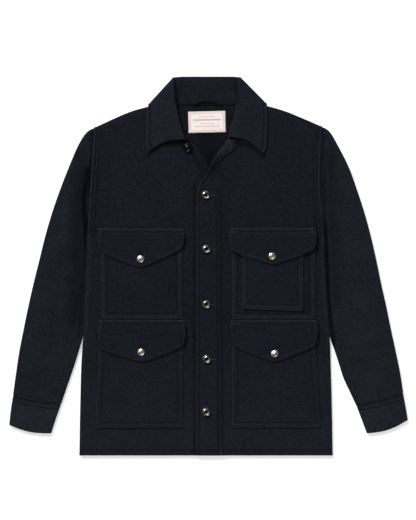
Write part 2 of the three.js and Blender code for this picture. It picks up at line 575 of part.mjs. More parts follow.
// The listed stations with one more between each two.
function stations() {
  const through = (column) => {
    const line = new THREE.CatmullRomCurve3(COLLAR.map((s) => vec(...s[column])), false, "centripetal");
    return (t) => line.getPoint(t);
  };
  const neck = through("neck");
  const roll = through("roll");
  const edge = through("edge");
  return steps(2 * (COLLAR.length - 1)).map((t, k) => {
    const a = COLLAR[Math.floor(k / 2)];
    const b = COLLAR[Math.ceil(k / 2)];
    return {
      neck: neck(t), roll: roll(t), edge: edge(t), bow: (a.bow + b.bow) / 2, turn: (a.turn + b.turn) / 2,
    };
  });
}
const collar = () => wall(stations().map(collarSection), COLLAR_CLOTH);

// A piece of cloth that lies on a front: its points are the front's, moved out.
function laid(rows, side, layers, thick = CLOTH) {
  const raise = layers * (CLOTH + LAY) + LAY + thick / 2;
  const lifted = (p) => vec(p.x, p.y, frontTop(p.x, p.y, side) + raise + p.z);
  return wall(rows.map((row) => row.map(lifted)), thick);
}
const sideOf = (name) => (name.endsWith("left") ? "left" : "right");

const PATCH_COLUMNS = 8;
const PATCH_ROWS = 8;
function patch(p) {
  const rows = steps(PATCH_ROWS).map((v) => steps(PATCH_COLUMNS).map((u) => {
    const top = vec(at2(p.topX, u), at2(p.topY, u));
    const low = vec(at2(p.lowX, u), at2(p.lowY, u));
    return top.lerp(low, v);
  }));
  return laid(rows, sideOf(p.name), p.layer);
}

// The bottom edge of a flap, at a share of its width.
function flapBottom(f, u) {
  const [pointX, pointY] = f.point;
  const pointShare = (pointX - f.x[0]) / (f.x[1] - f.x[0]);
  const half = u < pointShare ? 0 : 1;
  const s = half === 0 ? (pointShare - u) / pointShare : (u - pointShare) / (1 - pointShare);
  const y = mix(f.corners[half], pointY, 1 - s ** FLAP_POINT_POWER);
  const fromCorner = (1 - s) * Math.abs(pointX - f.x[half]);
  const round = clamp01(1 - fromCorner / FLAP_CORNER);
  return y + FLAP_CORNER * (1 - Math.sqrt(1 - round * round));
}

const FLAP_COLUMNS = [0, 0.015, 0.05, 0.14, 0.24, 0.34, 0.42, 0.5, 0.58, 0.66, 0.76, 0.86, 0.95, 0.985, 1];
const FLAP_ROWS = [0, 0.07, 0.16, 0.36, 0.57, 0.78, 1];
const FLAP_SEAM = 1; // below its sewn edge, where a flap starts to climb
function flapRise(f, y) {
  return f.layers * (CLOTH + LAY) * ease(f.top - FLAP_SEAM, f.top - FLAP_SETTLE, y);
}
function flap(f) {
  const rows = FLAP_ROWS.map((v) => FLAP_COLUMNS.map((u) => {
    const y = mix(f.top, flapBottom(f, u), v);
    const bulge = FLAP_SIDE_BULGE * Math.sin(Math.PI * v) * (2 * u - 1) ** 3;
    return vec(at2(f.x, u) + bulge, y, flapRise(f, y));
  }));
  return laid(rows, sideOf(f.name), 0);
}

function lapel() {
  const rows = LAPEL.map((s) => steps(2).map((u) => vec(mix(s.rollX, s.edgeX, u), mix(s.rollY, s.edgeY, u))));
  return laid(rows, "left", 0);
}

// A round piece turned from its profile: radius and height pairs from the axis to the axis.
function turned(profile, segments) {
  const geometry = new THREE.LatheGeometry(profile.map(([r, z]) => new THREE.Vector2(r, z)), segments);
  geometry.rotateX(Math.PI / 2);
  return geometry;
}
const ROUND_SIDES = 16;
const BUTTON_HEIGHT = 3.4;
const BUTTON_DISH = 1.2; // how deep the middle lies below the rim
const buttonShape = () => turned([
  [0, 0], [BUTTON_RADIUS / 2, 0], [BUTTON_RADIUS * 0.94, BUTTON_HEIGHT * 0.18],
  [BUTTON_RADIUS, BUTTON_HEIGHT / 2], [BUTTON_RADIUS * 0.92, BUTTON_HEIGHT * 0.91],
  [BUTTON_RADIUS * 0.79, BUTTON_HEIGHT],
  [BUTTON_RADIUS * 0.66, BUTTON_HEIGHT * 0.8], [0, BUTTON_HEIGHT - BUTTON_DISH],
], ROUND_SIDES);
const SNAP_HEIGHT = 3.2;
const snapShape = () => turned([
  [0, 0], [SNAP_RADIUS * 0.94, 0], [SNAP_RADIUS, SNAP_HEIGHT * 0.22], [SNAP_RADIUS * 0.92, SNAP_HEIGHT / 2],
  [SNAP_RADIUS * 0.61, SNAP_HEIGHT * 0.84], [0, SNAP_HEIGHT],
], ROUND_SIDES);

function label() {
  const turn = (LABEL.turn * Math.PI) / 180;
  const rows = steps(4).map((v) => steps(4).map((u) => {
    const a = (u - 0.5) * LABEL.width;
    const b = (v - 0.5) * LABEL.height;
    const x = LABEL.x + a * Math.cos(turn) - b * Math.sin(turn);
    const y = LABEL.y + a * Math.sin(turn) + b * Math.cos(turn);
    return vec(x, y, backTop(x, y) + LAY + LABEL.thick / 2);
  }));
  return wall(rows, LABEL.thick);
}

// The tape loop for a hook: an arch that stands on the neck seam and leans on the collar's stand.
function loop() {
  const seamTop = RIM_MID - RIM_RADIUS + COLLAR_LIFT + COLLAR_CLOTH / 2 + LAY + LOOP.thick / 2;
  const rows = steps(12).map((t) => [0, 1].map((w) => {
    const x = mix(LOOP.fromX, LOOP.toX, t);
    const arch = Math.sin(Math.PI * t);
    const y = LOOP.y + LOOP.rise * arch + (w - 0.5) * LOOP.width * mix(LOOP.endShare, 1, arch);
    return vec(x, y, seamTop + STAND_SLOPE * (y - BACK_NECK[2][1]) + LOOP.slack * arch);
  }));
  return wall(rows, LOOP.thick);
}

// Materials
const wool = new THREE.MeshStandardMaterial({ color: 0x1a1e26, roughness: 0.95, metalness: 0 });
const woolCollar = new THREE.MeshStandardMaterial({ color: 0x1d222b, roughness: 0.95, metalness: 0 });
const nickel = new THREE.MeshStandardMaterial({ color: 0xb9b5ae, roughness: 0.25, metalness: 1 });
const labelCloth = new THREE.MeshStandardMaterial({ color: 0xf2e6df, roughness: 0.8, metalness: 0 });
const tape = new THREE.MeshStandardMaterial({ color: 0x2b2620, roughness: 0.9, metalness: 0 });

// The jacket
const jacket = new THREE.Group();
function add(name, geometry, material, x = 0, y = 0, z = 0) {
  const mesh = new THREE.Mesh(geometry, material);
  mesh.name = name;
  mesh.position.set(x, y, z);
  jacket.add(mesh);
}

add("back", back(), wool);
for (const side of ["right", "left"]) {
  add(`front_${side}`, front(side), wool);
  add(`sleeve_${side}`, sleeve(side), wool);
  add(`cuff_${side}`, cuff(side), wool);
}
add("facing_left", lapel(), wool);
add("collar", collar(), woolCollar);
for (const p of PATCHES) add(p.name, patch(p), wool);
for (const f of FLAPS) add(f.name, flap(f), wool);
for (const s of SNAPS) {
  const f = FLAPS[s.flap];
  const top = frontTop(s.x, s.y, sideOf(f.name)) + LAY + CLOTH + flapRise(f, s.y);
  add(s.name, snapShape(), nickel, s.x, s.y, top + LAY);
}
for (const b of BUTTONS) add(b.name, buttonShape(), nickel, b.x, b.y, frontTop(b.x, b.y, b.side) + LAY);
add("label", label(), labelCloth);
add("hanger_loop", loop(), tape);

export default jacket;
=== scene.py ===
# %% [markdown]
# # A wool mackinaw jacket, laid flat
# This lesson dresses a hip-length work jacket of very heavy navy wool: two fronts, a back, cuffed
# sleeves, a turned-down collar, patch pockets with pointed flaps, and nickel buttons and snaps. The
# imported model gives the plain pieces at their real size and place. Everything here is made in the same
# frame: the back lies on z = 0, +Z points up out of the chest and +Y towards the collar. "Right" and
# "left" are the wearer's.

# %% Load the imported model
import math
import bpy
import numpy as np
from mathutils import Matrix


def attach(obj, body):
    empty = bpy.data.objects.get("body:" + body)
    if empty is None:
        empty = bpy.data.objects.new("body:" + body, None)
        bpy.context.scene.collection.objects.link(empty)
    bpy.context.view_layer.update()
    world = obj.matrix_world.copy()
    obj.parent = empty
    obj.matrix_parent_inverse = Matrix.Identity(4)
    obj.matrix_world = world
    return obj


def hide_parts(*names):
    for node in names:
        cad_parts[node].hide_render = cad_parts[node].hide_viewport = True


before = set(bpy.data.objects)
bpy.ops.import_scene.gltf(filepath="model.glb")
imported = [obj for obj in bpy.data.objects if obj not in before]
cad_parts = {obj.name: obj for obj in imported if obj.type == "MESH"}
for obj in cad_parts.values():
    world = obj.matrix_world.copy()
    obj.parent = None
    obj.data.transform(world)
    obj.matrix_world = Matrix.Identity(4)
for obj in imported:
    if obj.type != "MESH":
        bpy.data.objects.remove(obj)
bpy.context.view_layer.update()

# %% [markdown]
# ## The camera, floor and light
# The jacket was photographed from straight above, so a long lens looks straight down and shows almost no
# perspective. One picture element of the 416 x 520 picture covers 2.12 mm of the table. The light comes
# mostly from beyond the collar, so each flap and edge throws a thin shadow towards the hem. The room is
# bright beyond the right shoulder and below the left hem, and dark between, where the photographer
# stands: polished metal shows that as two bright sides and a dark streak. The table glows a little, as a
# light table does, which keeps it white right up to the cloth.

# %% Camera, floor and light
PICTURE = (416, 520)
MM_PER_PIXEL = 2.12
CAMERA_HEIGHT = 4000
CLOTH_TOP = 8  # the height at which the picture's scale holds
LOOKS_AT = (-1.1, 12.7)

scene = bpy.context.scene
camera_data = bpy.data.cameras.new("camera")
camera = bpy.data.objects.new("camera", camera_data)
scene.collection.objects.link(camera)
camera.location = (LOOKS_AT[0] / 1000, LOOKS_AT[1] / 1000, CAMERA_HEIGHT / 1000)
camera_data.lens = camera_data.sensor_width * (CAMERA_HEIGHT - CLOTH_TOP) / (PICTURE[1] * MM_PER_PIXEL)
camera_data.clip_end = 50
scene.camera = camera
scene.view_settings.view_transform = "Standard"
scene.view_settings.look = "None"

bpy.ops.mesh.primitive_plane_add(size=40, location=(0, 0, -0.0003))
floor = bpy.context.object
floor.name = "floor"


def soft_box(name, place, aim, size, power, tint=(1, 1, 1)):
    """A square soft light that faces a point, in metres and watts."""
    data = bpy.data.lights.new(name, "AREA")
    data.size, data.energy, data.color = size, power, tint
    lamp = bpy.data.objects.new(name, data)
    scene.collection.objects.link(lamp)
    lamp.location = place
    toward = np.array(aim) - np.array(place)
    down = math.acos(-toward[2] / np.linalg.norm(toward))
    lamp.rotation_euler = (down, 0, math.atan2(-toward[0], toward[1]))


soft_box("key", (-2.4, 4.1, 3.4), (0, 0, 0), 2.1, 330)
soft_box("fill", (0.9, -2.2, 2.0), (0, -0.2, 0), 2.6, 26)

BRIGHT_SIDES = (-0.55, 0.835, 0)  # the room is bright along this line, both ways, and dark across it
DARK_WALL, BRIGHT_WALL = (0.03, 0.02, 0.014, 1), (0.37, 0.37, 0.38, 1)
world = bpy.data.worlds.new("studio")
world.use_nodes = True
tree = world.node_tree
facing = tree.nodes.new("ShaderNodeVectorMath")
facing.operation = "DOT_PRODUCT"
facing.inputs[1].default_value = BRIGHT_SIDES
tree.links.new(tree.nodes.new("ShaderNodeTexCoord").outputs["Generated"], facing.inputs[0])
either_way = tree.nodes.new("ShaderNodeMath")
either_way.operation = "ABSOLUTE"
tree.links.new(facing.outputs["Value"], either_way.inputs[0])
room = tree.nodes.new("ShaderNodeValToRGB")
for stop, position, colour in zip(room.color_ramp.elements, (0.12, 0.42), (DARK_WALL, BRIGHT_WALL)):
    stop.position, stop.color = position, colour
tree.links.new(either_way.outputs["Value"], room.inputs[0])
tree.links.new(room.outputs["Color"], tree.nodes["Background"].inputs["Color"])
scene.world = world
print("camera lens:", round(camera_data.lens), "mm")

# %% [markdown]
# ## A short way to write shader maths
# A material is a small network of sums. `Field` wraps one output of a node, so that `a * 2 + b` makes the
# maths nodes itself, and `Paint.node` makes any other node.


# %% Shader helper
class Field:
    """The output of a shader node, which takes part in sums like a number."""

    def __init__(self, paint, socket):
        self.paint, self.socket = paint, socket

    def sum(self, kind, other, swap=False):
        values = [self, other][::-1] if swap else [self, other]
        return self.paint.node("ShaderNodeMath", values, operation=kind)

    def __add__(self, other): return self.sum("ADD", other)
    def __radd__(self, other): return self.sum("ADD", other, True)
    def __sub__(self, other): return self.sum("SUBTRACT", other)
    def __rsub__(self, other): return self.sum("SUBTRACT", other, True)
    def __mul__(self, other): return self.sum("MULTIPLY", other)
    def __rmul__(self, other): return self.sum("MULTIPLY", other, True)
    def under(self, other): return self.sum("LESS_THAN", other)
    def most(self, other): return self.sum("MAXIMUM", other)
    def least(self, other): return self.sum("MINIMUM", other)
    def sine(self): return self.paint.node("ShaderNodeMath", [self], operation="SINE")
    def size(self): return self.paint.node("ShaderNodeMath", [self], operation="ABSOLUTE")


class Paint:
    """One material, with its Principled shader ready."""

    def __init__(self, name):
        self.material = bpy.data.materials.new(name)
        self.material.use_nodes = True
        self.tree = self.material.node_tree
        self.shader = self.tree.nodes["Principled BSDF"]

    def node(self, kind, inputs=(), output=0, **settings):
        made = self.tree.nodes.new(kind)
        for key, value in settings.items():
            setattr(made, key, value)
        pairs = inputs.items() if isinstance(inputs, dict) else enumerate(inputs)
        for key, value in pairs:
            self.feed(made.inputs[key], value)
        return Field(self, made.outputs[output])

    def feed(self, socket, value):
        if isinstance(value, Field):
            self.tree.links.new(value.socket, socket)
        else:
            socket.default_value = value

    def set(self, **values):
        for name, value in values.items():
            self.feed(self.shader.inputs[name.replace("_", " ")], value)
        return self

    def coordinates(self):
        return self.node("ShaderNodeTexCoord", output="Object")

    def cloth_lengths(self):
        """How far across and along its own piece each point of the cloth is, in metres."""
        cloth = self.node("ShaderNodeUVMap", output="UV", uv_map="cloth")
        across = self.node("ShaderNodeSeparateXYZ", [cloth])
        return across, Field(self, across.socket.node.outputs[1])

    def measure(self, name):
        """A number that the mesh carries at each point."""
        return self.node("ShaderNodeAttribute", output="Fac", attribute_name=name)

    def noise(self, where, scale, detail=2.0, rough=0.5):
        return self.node("ShaderNodeTexNoise",
                         {"Vector": where, "Scale": scale, "Detail": detail, "Roughness": rough})

    def blend(self, share, low, high, how="MIX"):
        return self.node("ShaderNodeMix", {0: share, 6: low, 7: high}, 2, data_type="RGBA", blend_type=how)

    def ramp(self, value, low, high, to_low=0.0, to_high=1.0):
        """The value moved from one range to another, and held at its ends."""
        return self.node("ShaderNodeMapRange", [value, low, high, to_low, to_high], clamp=True)

    def bump(self, height, depth, strength=1.0):
        return self.node("ShaderNodeBump", {"Height": height, "Distance": depth, "Strength": strength})


def srgb(red, green, blue):
    """A colour as it looks on a screen, 0 to 255, in the linear form that shaders use."""
    channels = (red, green, blue)
    return tuple(((c / 255 + 0.055) / 1.055) ** 2.4 if c > 10 else c / 3294.6 for c in channels) + (1,)


pale = Paint("pale_floor").set(Roughness=0.9)
speck = pale.noise(pale.coordinates(), 900)
pale.set(Base_Color=pale.blend(speck, (0.92, 0.92, 0.92, 1), (0.94, 0.94, 0.94, 1)),
         Emission_Color=(1, 1, 1, 1), Emission_Strength=0.4)
floor.data.materials.append(pale.material)

# %% [markdown]
# ## Wool, thread, nickel and label cloth
# Mackinaw wool is a thick twill that is felted and brushed, so its diagonal lines are nearly lost under a
# nap of short fibres. The fibres are dyed before spinning, which leaves a faint heather of lighter and
# darker specks. Light that grazes the nap makes turned edges look paler, which a small constant sheen
# gives. The edges are also painted paler, as painted highlight and wear, and deep folds, grooves and the
# inside are painted darker, as painted shade. The twill follows the UV map, which holds the cloth's own
# lengths, so it turns with each piece.

# %% Wool
TWILL_PITCH, TWILL_SLOPE = 0.0021, 0.8  # from line to line, in metres, and how steeply the lines run
LONG_FIBRE = 0.22  # how much a fibre is stretched along its thread
# the colour that painted shade darkens the wool towards
PAINTED_SHADE_BLACK = srgb(2, 3, 5)
# the cloth's inside is painted towards this: partly its own darker, purplish tone and partly painted shade
SHADED_INSIDE_TINT = srgb(14, 9, 11)


def wool(name, dark, light, pale):
    """Felted twill: dark and light fibres, and a pale colour for painted highlight and wear."""
    paint = Paint(name)
    across, along = paint.cloth_lengths()
    place = paint.coordinates()
    warp = paint.node("ShaderNodeMapping", {"Vector": place, "Scale": (1, LONG_FIBRE, 1)})
    weft = paint.node("ShaderNodeMapping", {"Vector": place, "Scale": (LONG_FIBRE, 1, 1)})
    wander = paint.noise(place, 420, 3) * 0.0011
    twill = ((across + along * TWILL_SLOPE + wander) * (2 * math.pi / TWILL_PITCH)).sine() * 0.5 + 0.5
    fibres = paint.noise(place, 1500, 3, 0.7)
    heather = paint.noise(place, 520, 3, 0.6)
    threads = paint.noise(warp, 480, 2, 0.6) + paint.noise(weft, 480, 2, 0.6)
    cloud = paint.noise(place, 16, 3) * 0.2 + paint.noise(place, 110, 2) * 0.12
    tone = heather + threads * 0.5 + fibres * 0.3 + twill * 0.08 + cloud
    level = paint.ramp(tone, 1.1, 1.5)
    painted_light_and_wear, painted_shade, inside = (paint.measure(n) for n in ("painted_light_and_wear", "painted_shade", "inside"))
    body = paint.blend(level, dark, light)
    # painted highlight and wear: the marked edges and pieces are mixed towards the pale colour
    lit_and_worn = paint.blend(painted_light_and_wear * (0.3 + level * 0.75), body, pale)
    # painted shade: the wool is darkened where painted_shade is marked
    shaded = paint.blend((painted_shade * 0.92).least(0.94), lit_and_worn, PAINTED_SHADE_BLACK)
    patches = paint.ramp(paint.noise(place, 75, 2), 0.42, 0.62)
    hued = paint.blend(1.0, shaded, paint.blend(patches, (1, 0.96, 0.96, 1), (0.93, 1, 1.04, 1)), "MULTIPLY")
    # the inside painted darker: partly its own tone, partly painted shade
    paint.set(
        Base_Color=paint.blend(inside * 0.3, hued, SHADED_INSIDE_TINT),
        Roughness=paint.ramp(fibres, 0.2, 0.8, 0.86, 0.98),
        Normal=paint.bump(fibres * 0.5 + heather * 0.5 + twill * 0.25, 0.0007, 0.85),
        Sheen_Weight=0.05, Sheen_Roughness=0.4, Sheen_Tint=srgb(130, 160, 210), Specular_IOR_Level=0.07,
    )
    return paint.material


navy = wool("navy_wool", srgb(9, 12, 15), srgb(27.5, 31.5, 38.5), srgb(55, 58, 67))
# the collar's wool is a lighter copy of the body's: painted light for the brighter look of the raised collar
lit_navy_collar = wool("lit_navy_wool_collar", srgb(11, 14, 17), srgb(31.5, 35.5, 42.5), srgb(55, 60, 72))
print("wools:", navy.name, lit_navy_collar.name)


# %% Thread
def thread_paint(name, dark, light):
    """Twisted cotton, a little smoother than the wool."""
    paint = Paint(name)
    strand = paint.noise(paint.coordinates(), 2600, 2)
    paint.set(Base_Color=paint.blend(strand, dark, light), Roughness=paint.ramp(strand, 0.2, 0.8, 0.55, 0.75),
              Normal=paint.bump(strand, 0.0001), Specular_IOR_Level=0.1)
    return paint.material


navy_thread = thread_paint("navy_thread", srgb(11, 13, 17), srgb(25, 28, 35))
# paler thread for the bar tacks, and as painted highlight for the buttonholes' lower lips
pale_thread = thread_paint("pale_tack_thread", srgb(34, 38, 46), srgb(58, 63, 74))
lip_thread = thread_paint("buttonhole_thread", srgb(20, 23, 28), srgb(38, 42, 50))
# near black: painted shadow inside each buttonhole's slit
slit_shadow = thread_paint("buttonhole_slit_shadow", srgb(3, 3, 4), srgb(8, 8, 10))
rose_thread = thread_paint("rose_thread", srgb(176, 96, 92), srgb(205, 132, 126))


# %% Nickel
def nickel_paint(name, bright, darkened, smooth, film=0.2, lacquer=0.0):
    """Bright plate, and darker, duller metal where the rings say: painted dark reflection and painted shade
    on a button, grime in the grooves.
    """
    paint = Paint(name)
    place = paint.coordinates()
    painted_dark_and_grime = paint.measure("painted_dark_and_grime")
    smear = paint.noise(place, 260, 4)
    darkened_share = (painted_dark_and_grime * 1.15 + smear * 0.3 - 0.15).most(0.0).least(1.0)
    paint.set(
        Base_Color=paint.blend(darkened_share, bright, darkened), Metallic=1.0,
        Roughness=paint.ramp(smear, 0.3, 0.7, smooth, smooth + 0.1) + painted_dark_and_grime * painted_dark_and_grime * film,
        Normal=paint.bump(smear, 0.00005), Coat_Weight=lacquer, Coat_Roughness=0.12,
    )
    return paint.material


# near black where a button shows painted dark reflection and painted shade
nickel = nickel_paint("nickel", srgb(164, 159, 153), srgb(9, 8, 8), 0.13, film=0.6)
# a darkened copy of the nickel: painted shade for the top button, which lies in the collar's shadow
shaded_nickel = nickel_paint("shaded_nickel", srgb(22, 20, 20), srgb(5, 4, 4), 0.2, lacquer=0.35)
snap_nickel = nickel_paint("snap_nickel", srgb(212, 202, 191), srgb(80, 68, 58), 0.26)

# %% Label cloth and tape
LABEL_WIDE, LABEL_HIGH = 79, 45
LABEL_RULES = (  # height, half width, half thickness
    (11.2, 17, 0.5), (4.6, 29, 1.5), (-3.2, 14, 0.5), (-9.0, 26, 0.6))


def label_paint():
    """Cream woven tape with a plain double frame and four plain rules in faded rose."""
    paint = Paint("label_cloth")
    across, along = paint.cloth_lengths()
    x, y = across * 1000 - LABEL_WIDE / 2, along * 1000 - LABEL_HIGH / 2
    weave = ((x * 9.0).sine() * (y * 9.0).sine()) * 0.5 + 0.5
    ragged = paint.noise(paint.coordinates(), 2200, 2) * 0.35 - 0.17
    out = (x.size() - 36.0).most(y.size() - 19.0) + ragged
    marks = ((out + 0.2).size().under(0.42)).most((out + 2.0).size().under(0.22))
    for height, half_width, thick in LABEL_RULES:
        rule = ((y - height + ragged).size().under(thick)) * ((x + ragged * 3).size().under(half_width))
        marks = marks.most(rule)
    ink = marks * 0.66
    cream = paint.blend(weave, srgb(252, 243, 236), srgb(255, 249, 244))
    paint.set(
        Base_Color=paint.blend(ink, cream, srgb(205, 128, 122)),
        Roughness=paint.ramp(weave, 0, 1, 0.7, 0.85),
        Normal=paint.bump(weave, 0.00012),
        Sheen_Weight=0.1,
    )
    return paint.material


label_cloth = label_paint()


def tape_paint():
    """Olive tape with fine ribs across it."""
    paint = Paint("olive_tape")
    rib = ((paint.cloth_lengths()[0] * 5200).sine()) * 0.5 + 0.5
    paint.set(Base_Color=paint.blend(rib, srgb(14, 12.5, 10), srgb(27, 24, 19)), Roughness=0.85,
              Normal=paint.bump(rib, 0.00025), Specular_IOR_Level=0.1)
    return paint.material


olive_tape = tape_paint()
print("materials:", len(bpy.data.materials))

# %% [markdown]
# ## Sizes
# All lengths are in millimetres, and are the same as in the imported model: how thick the cloth is, how
# thick front and back are together, and how far one piece lifts the next. Each outline follows with its
# own piece.

# %% Sizes
CLOTH = 2.4
COLLAR_CLOTH = 3.2
LAY = 0.4  # clearance between a piece and what it lies on
SEAM = 0.6  # clearance between two pieces that are sewn edge to edge
BODY_THICK = 7.2  # front and back together
RIM_RADIUS = (BODY_THICK - CLOTH) / 2  # of the cloth's middle, where it turns from front to back
RIM_MID = BODY_THICK / 2
HEM_Y = -402
LAP, LAP_FROM, LAP_TO = 2.8, 20, 46  # how high the left front rides on the right one, fading between these x
COLLAR_LIFT = 3.9  # how high the collar's fall lifts the jacket where it lies under it
print("front and back together:", BODY_THICK, "mm")

# %% [markdown]
# ## Folds
# Cloth this heavy makes few folds. Where the arm joins the body it heaps into a soft ridge that shadows
# the sleeve, and each sleeve rolls along its length and buckles at the elbow. Each fold is listed: its two
# ends, its half width and its height, or its depth where that is negative. No two are alike. At the bottom
# of the deepest folds little light gets in, and a second set of rows says where the wool is darkened for
# that.

# %% Folds
FOLDS = np.array([  # the model's own broad folds: x and y of both ends, half width, height
    (-246, 244, -249, 92, 22, 3.4), (-286, 200, -300, 30, 30, 4), (-299, -28, -301, -44, 34, 3),
    (-322, 40, -356, -130, 34, 3.4), (-350, -140, -366, -240, 32, 2.6), (243, 250, 240, 110, 22, 2.4),
    (284, 205, 304, 20, 30, 3.8), (320, 10, 346, -150, 34, 3.2), (352, -160, 364, -236, 32, 2.4),
    (-150, 196, -150, 130, 64, 1.6), (140, 196, 140, 130, 64, 1.4), (-150, 10, -150, -320, 92, 2),
    (145, 10, 145, -320, 92, 2)])
CREASES = np.array([  # smaller ones, mostly troughs
    (-259, 190, -262.5, 119, 9, -2.3), (-261, 117, -257, 90, 8, -2), (-257, 88, -261, 50, 7, -1.8),
    (-243, 128, -228, 92, 9, -0.8), (-276, 30, -262, -48, 15, -2.0), (-266, -52, -284, -128, 13, -2.1),
    (-300, 150, -318, 66, 10, -0.9),
    (-330, 10, -300, -12, 9, -0.9), (-352, -52, -322, -70, 8, -0.8), (-318, -150, -344, -196, 9, -0.8),
    (-384, -120, -396, -196, 9, -0.7), (-372, -226, -352, -262, 7, -0.6),
    (248, 262, 246, 180, 8, -1.8), (246, 178, 248, 76, 8, -2), (251, 70, 258, -46, 9, -1.8),
    (268, 44, 276, -40, 12, -1.2),
    (276, -52, 290, -136, 11, -1.5), (306, 176, 322, 96, 11, -1.0), (338, 48, 306, 20, 9, -0.8),
    (356, -30, 326, -52, 8, -0.8), (330, -150, 352, -214, 9, -0.7), (386, -126, 398, -206, 9, -0.6),
    (-232, 262, -176, 232, 16, 0.7), (-214, 222, -168, 176, 14, -0.6), (226, 268, 178, 244, 15, 0.6),
    (180, 322, 222, 296, 7, -1.7), (216, 214, 176, 182, 13, -0.5), (-104, 250, -84, 196, 16, 0.6),
    (92, 232, 74, 172, 15, 0.5), (-30, 132, -34, 60, 9, -0.4), (-40, -20, -38, -96, 10, -0.4),
    (36, 118, 40, 34, 8, -0.4), (-250, -180, -246, -300, 12, 0.8), (246, -196, 250, -306, 11, 0.8),
    (-118, -360, -96, -398, 10, 0.7), (92, -362, 110, -398, 11, 0.6), (-196, -352, -206, -396, 9, 0.6)])

FOLD_SHADE = np.array([  # painted shade where a fold is so deep that little light gets in, and on the sleeves beside the body: both ends, half width, how dark
    (-250, 282, -256, 215, 7, 0.5), (-255, 205, -262, 150, 15, 1.1), (-259, 182, -263, 148, 9, 1.6),
    (-263, 148, -263.5, 118, 8, 2.4), (-263.5, 118, -261.5, 96, 8, 2.6), (-261.5, 96, -261, 66, 6.5, 2.4),
    (-261, 66, -262.5, 44, 5, 1.5), (-262, 44, -263.5, 0, 5, 0.8), (-263.5, 0, -268, -60, 5, 0.75),
    (-268, -60, -276, -150, 5, 0.8),
    (-262, 230, -282, -110, 40, 0.5), (-292, -30, -272, -118, 20, 0.5), (-300, 60, -312, -20, 44, 0.1),
    (247, 275, 245, 180, 6, 0.4), (245, 190, 247, 76, 6, 0.6), (248, 90, 253, -40, 8, 1.1),
    (253, -40, 258, -108, 7, 1.1), (258, -108, 266, -165, 8, 1), (258, 240, 268, -60, 34, 0.34)])
NECK_SHADE = np.array([  # the same painted shade and shadow, under the collar, round the neck and beside the button band
    (-128, 236, -96, 258, 7, 0.9), (-96, 258, -44, 262, 9, 1.1), (-44, 262, -30, 246, 12, 0.5),
    (-30, 246, -8, 206, 12, 0.32), (60, 262, 92, 254, 9, 0.9), (92, 254, 118, 232, 7, 0.9),
    (-10, 205, -2, 192, 7, 0.4),
    (180, 320, 222, 294, 5, 0.4), (-7, 290, 2, 214, 40, 0.5), (-90, 330, -70, 290, 16, 0.6),
    (84, 330, 66, 290, 16, 0.6), (-30, 176, -30.5, -402, 4.5, 0.6)])
INSIDE_SHADE = np.vstack([NECK_SHADE, [(2, 238, -3, 206, 17, 0.8)]])  # more painted shade at the bottom of the neck opening
STAND_SHADE = np.array([  # the same painted shade and shadow, on the collar: beside the leaves, on the stand and over the leaf on the wearer's left
    (-59, 392, -67, 345, 9, 0.6), (55, 392, 63, 345, 9, 0.6), (-50, 372, 46, 372, 60, 0.32),
    (-70, 346, 66, 346, 9, 0.5), (96, 328, 92, 262, 50, 0.16)])


def ease(low, high, x):
    """0 below low, 1 above high, and a smooth step between."""
    t = np.clip((np.asarray(x, float) - low) / (high - low), 0, 1)
    return t * t * (3 - 2 * t)


def folds(x, y, table, joins=np.add):
    """How high a table's ridges lift the cloth. Where two meet they add up, unless told otherwise."""
    high = np.zeros(np.broadcast(x, y).shape)
    for x0, y0, x1, y1, half, height in table:
        dx, dy = x1 - x0, y1 - y0
        along = np.clip(((x - x0) * dx + (y - y0) * dy) / max(dx * dx + dy * dy, 1e-9), 0, 1)
        away = np.hypot(x - x0 - along * dx, y - y0 - along * dy) / half
        high = joins(high, height * np.clip(1 - away * away, 0, None) ** 2)
    return high


def unevenness(x, y):
    """The slight waviness of cloth that was smoothed by hand, about a third of a millimetre."""
    waves = ((0.9, 31, 17, 0.3), (0.7, -13, 41, 1.9), (0.5, 53, 29, 4.1), (0.4, 67, -59, 2.2),
             (0.3, -91, 103, 5.3))
    return 0.16 * sum(a * np.sin(x / 1000 * kx + y / 1000 * ky * 1.3 + turn) for a, kx, ky, turn in waves)


def collar_lift(x, y):
    """How far the jacket is raised round the neck, where it lies on the back of the collar's fall."""
    return COLLAR_LIFT * ease(242, 325, y) * (1 - ease(129, 190, np.abs(x + 1.5)))


def front_top(x, y, side):
    """Height of the top of the fronts and sleeves at a place."""
    lap = LAP * (1 - ease(LAP_FROM, LAP_TO, x)) if side == "left" else 0
    return BODY_THICK + folds(x, y, FOLDS) + folds(x, y, CREASES) + unevenness(x, y) + collar_lift(x, y) + lap


print("folds:", len(FOLDS), "broad and", len(CREASES), "small")

# %% [markdown]
# ## Cloth as a wall with round edges
# A pattern maker marks a few points and draws a smooth line through them. The same is done here for the
# outline of each piece, and the piece is then a grid of points on the middle of its cloth. `shell` gives
# the grid thickness on both sides and thins it to a round lip at the edges, as a folded and pressed edge
# is. Where the grid passes a line of stitches, the outside is drawn in by up to three quarters of a
# millimetre, and painted shade is added in the groove. The grid's own lengths become the UV map.


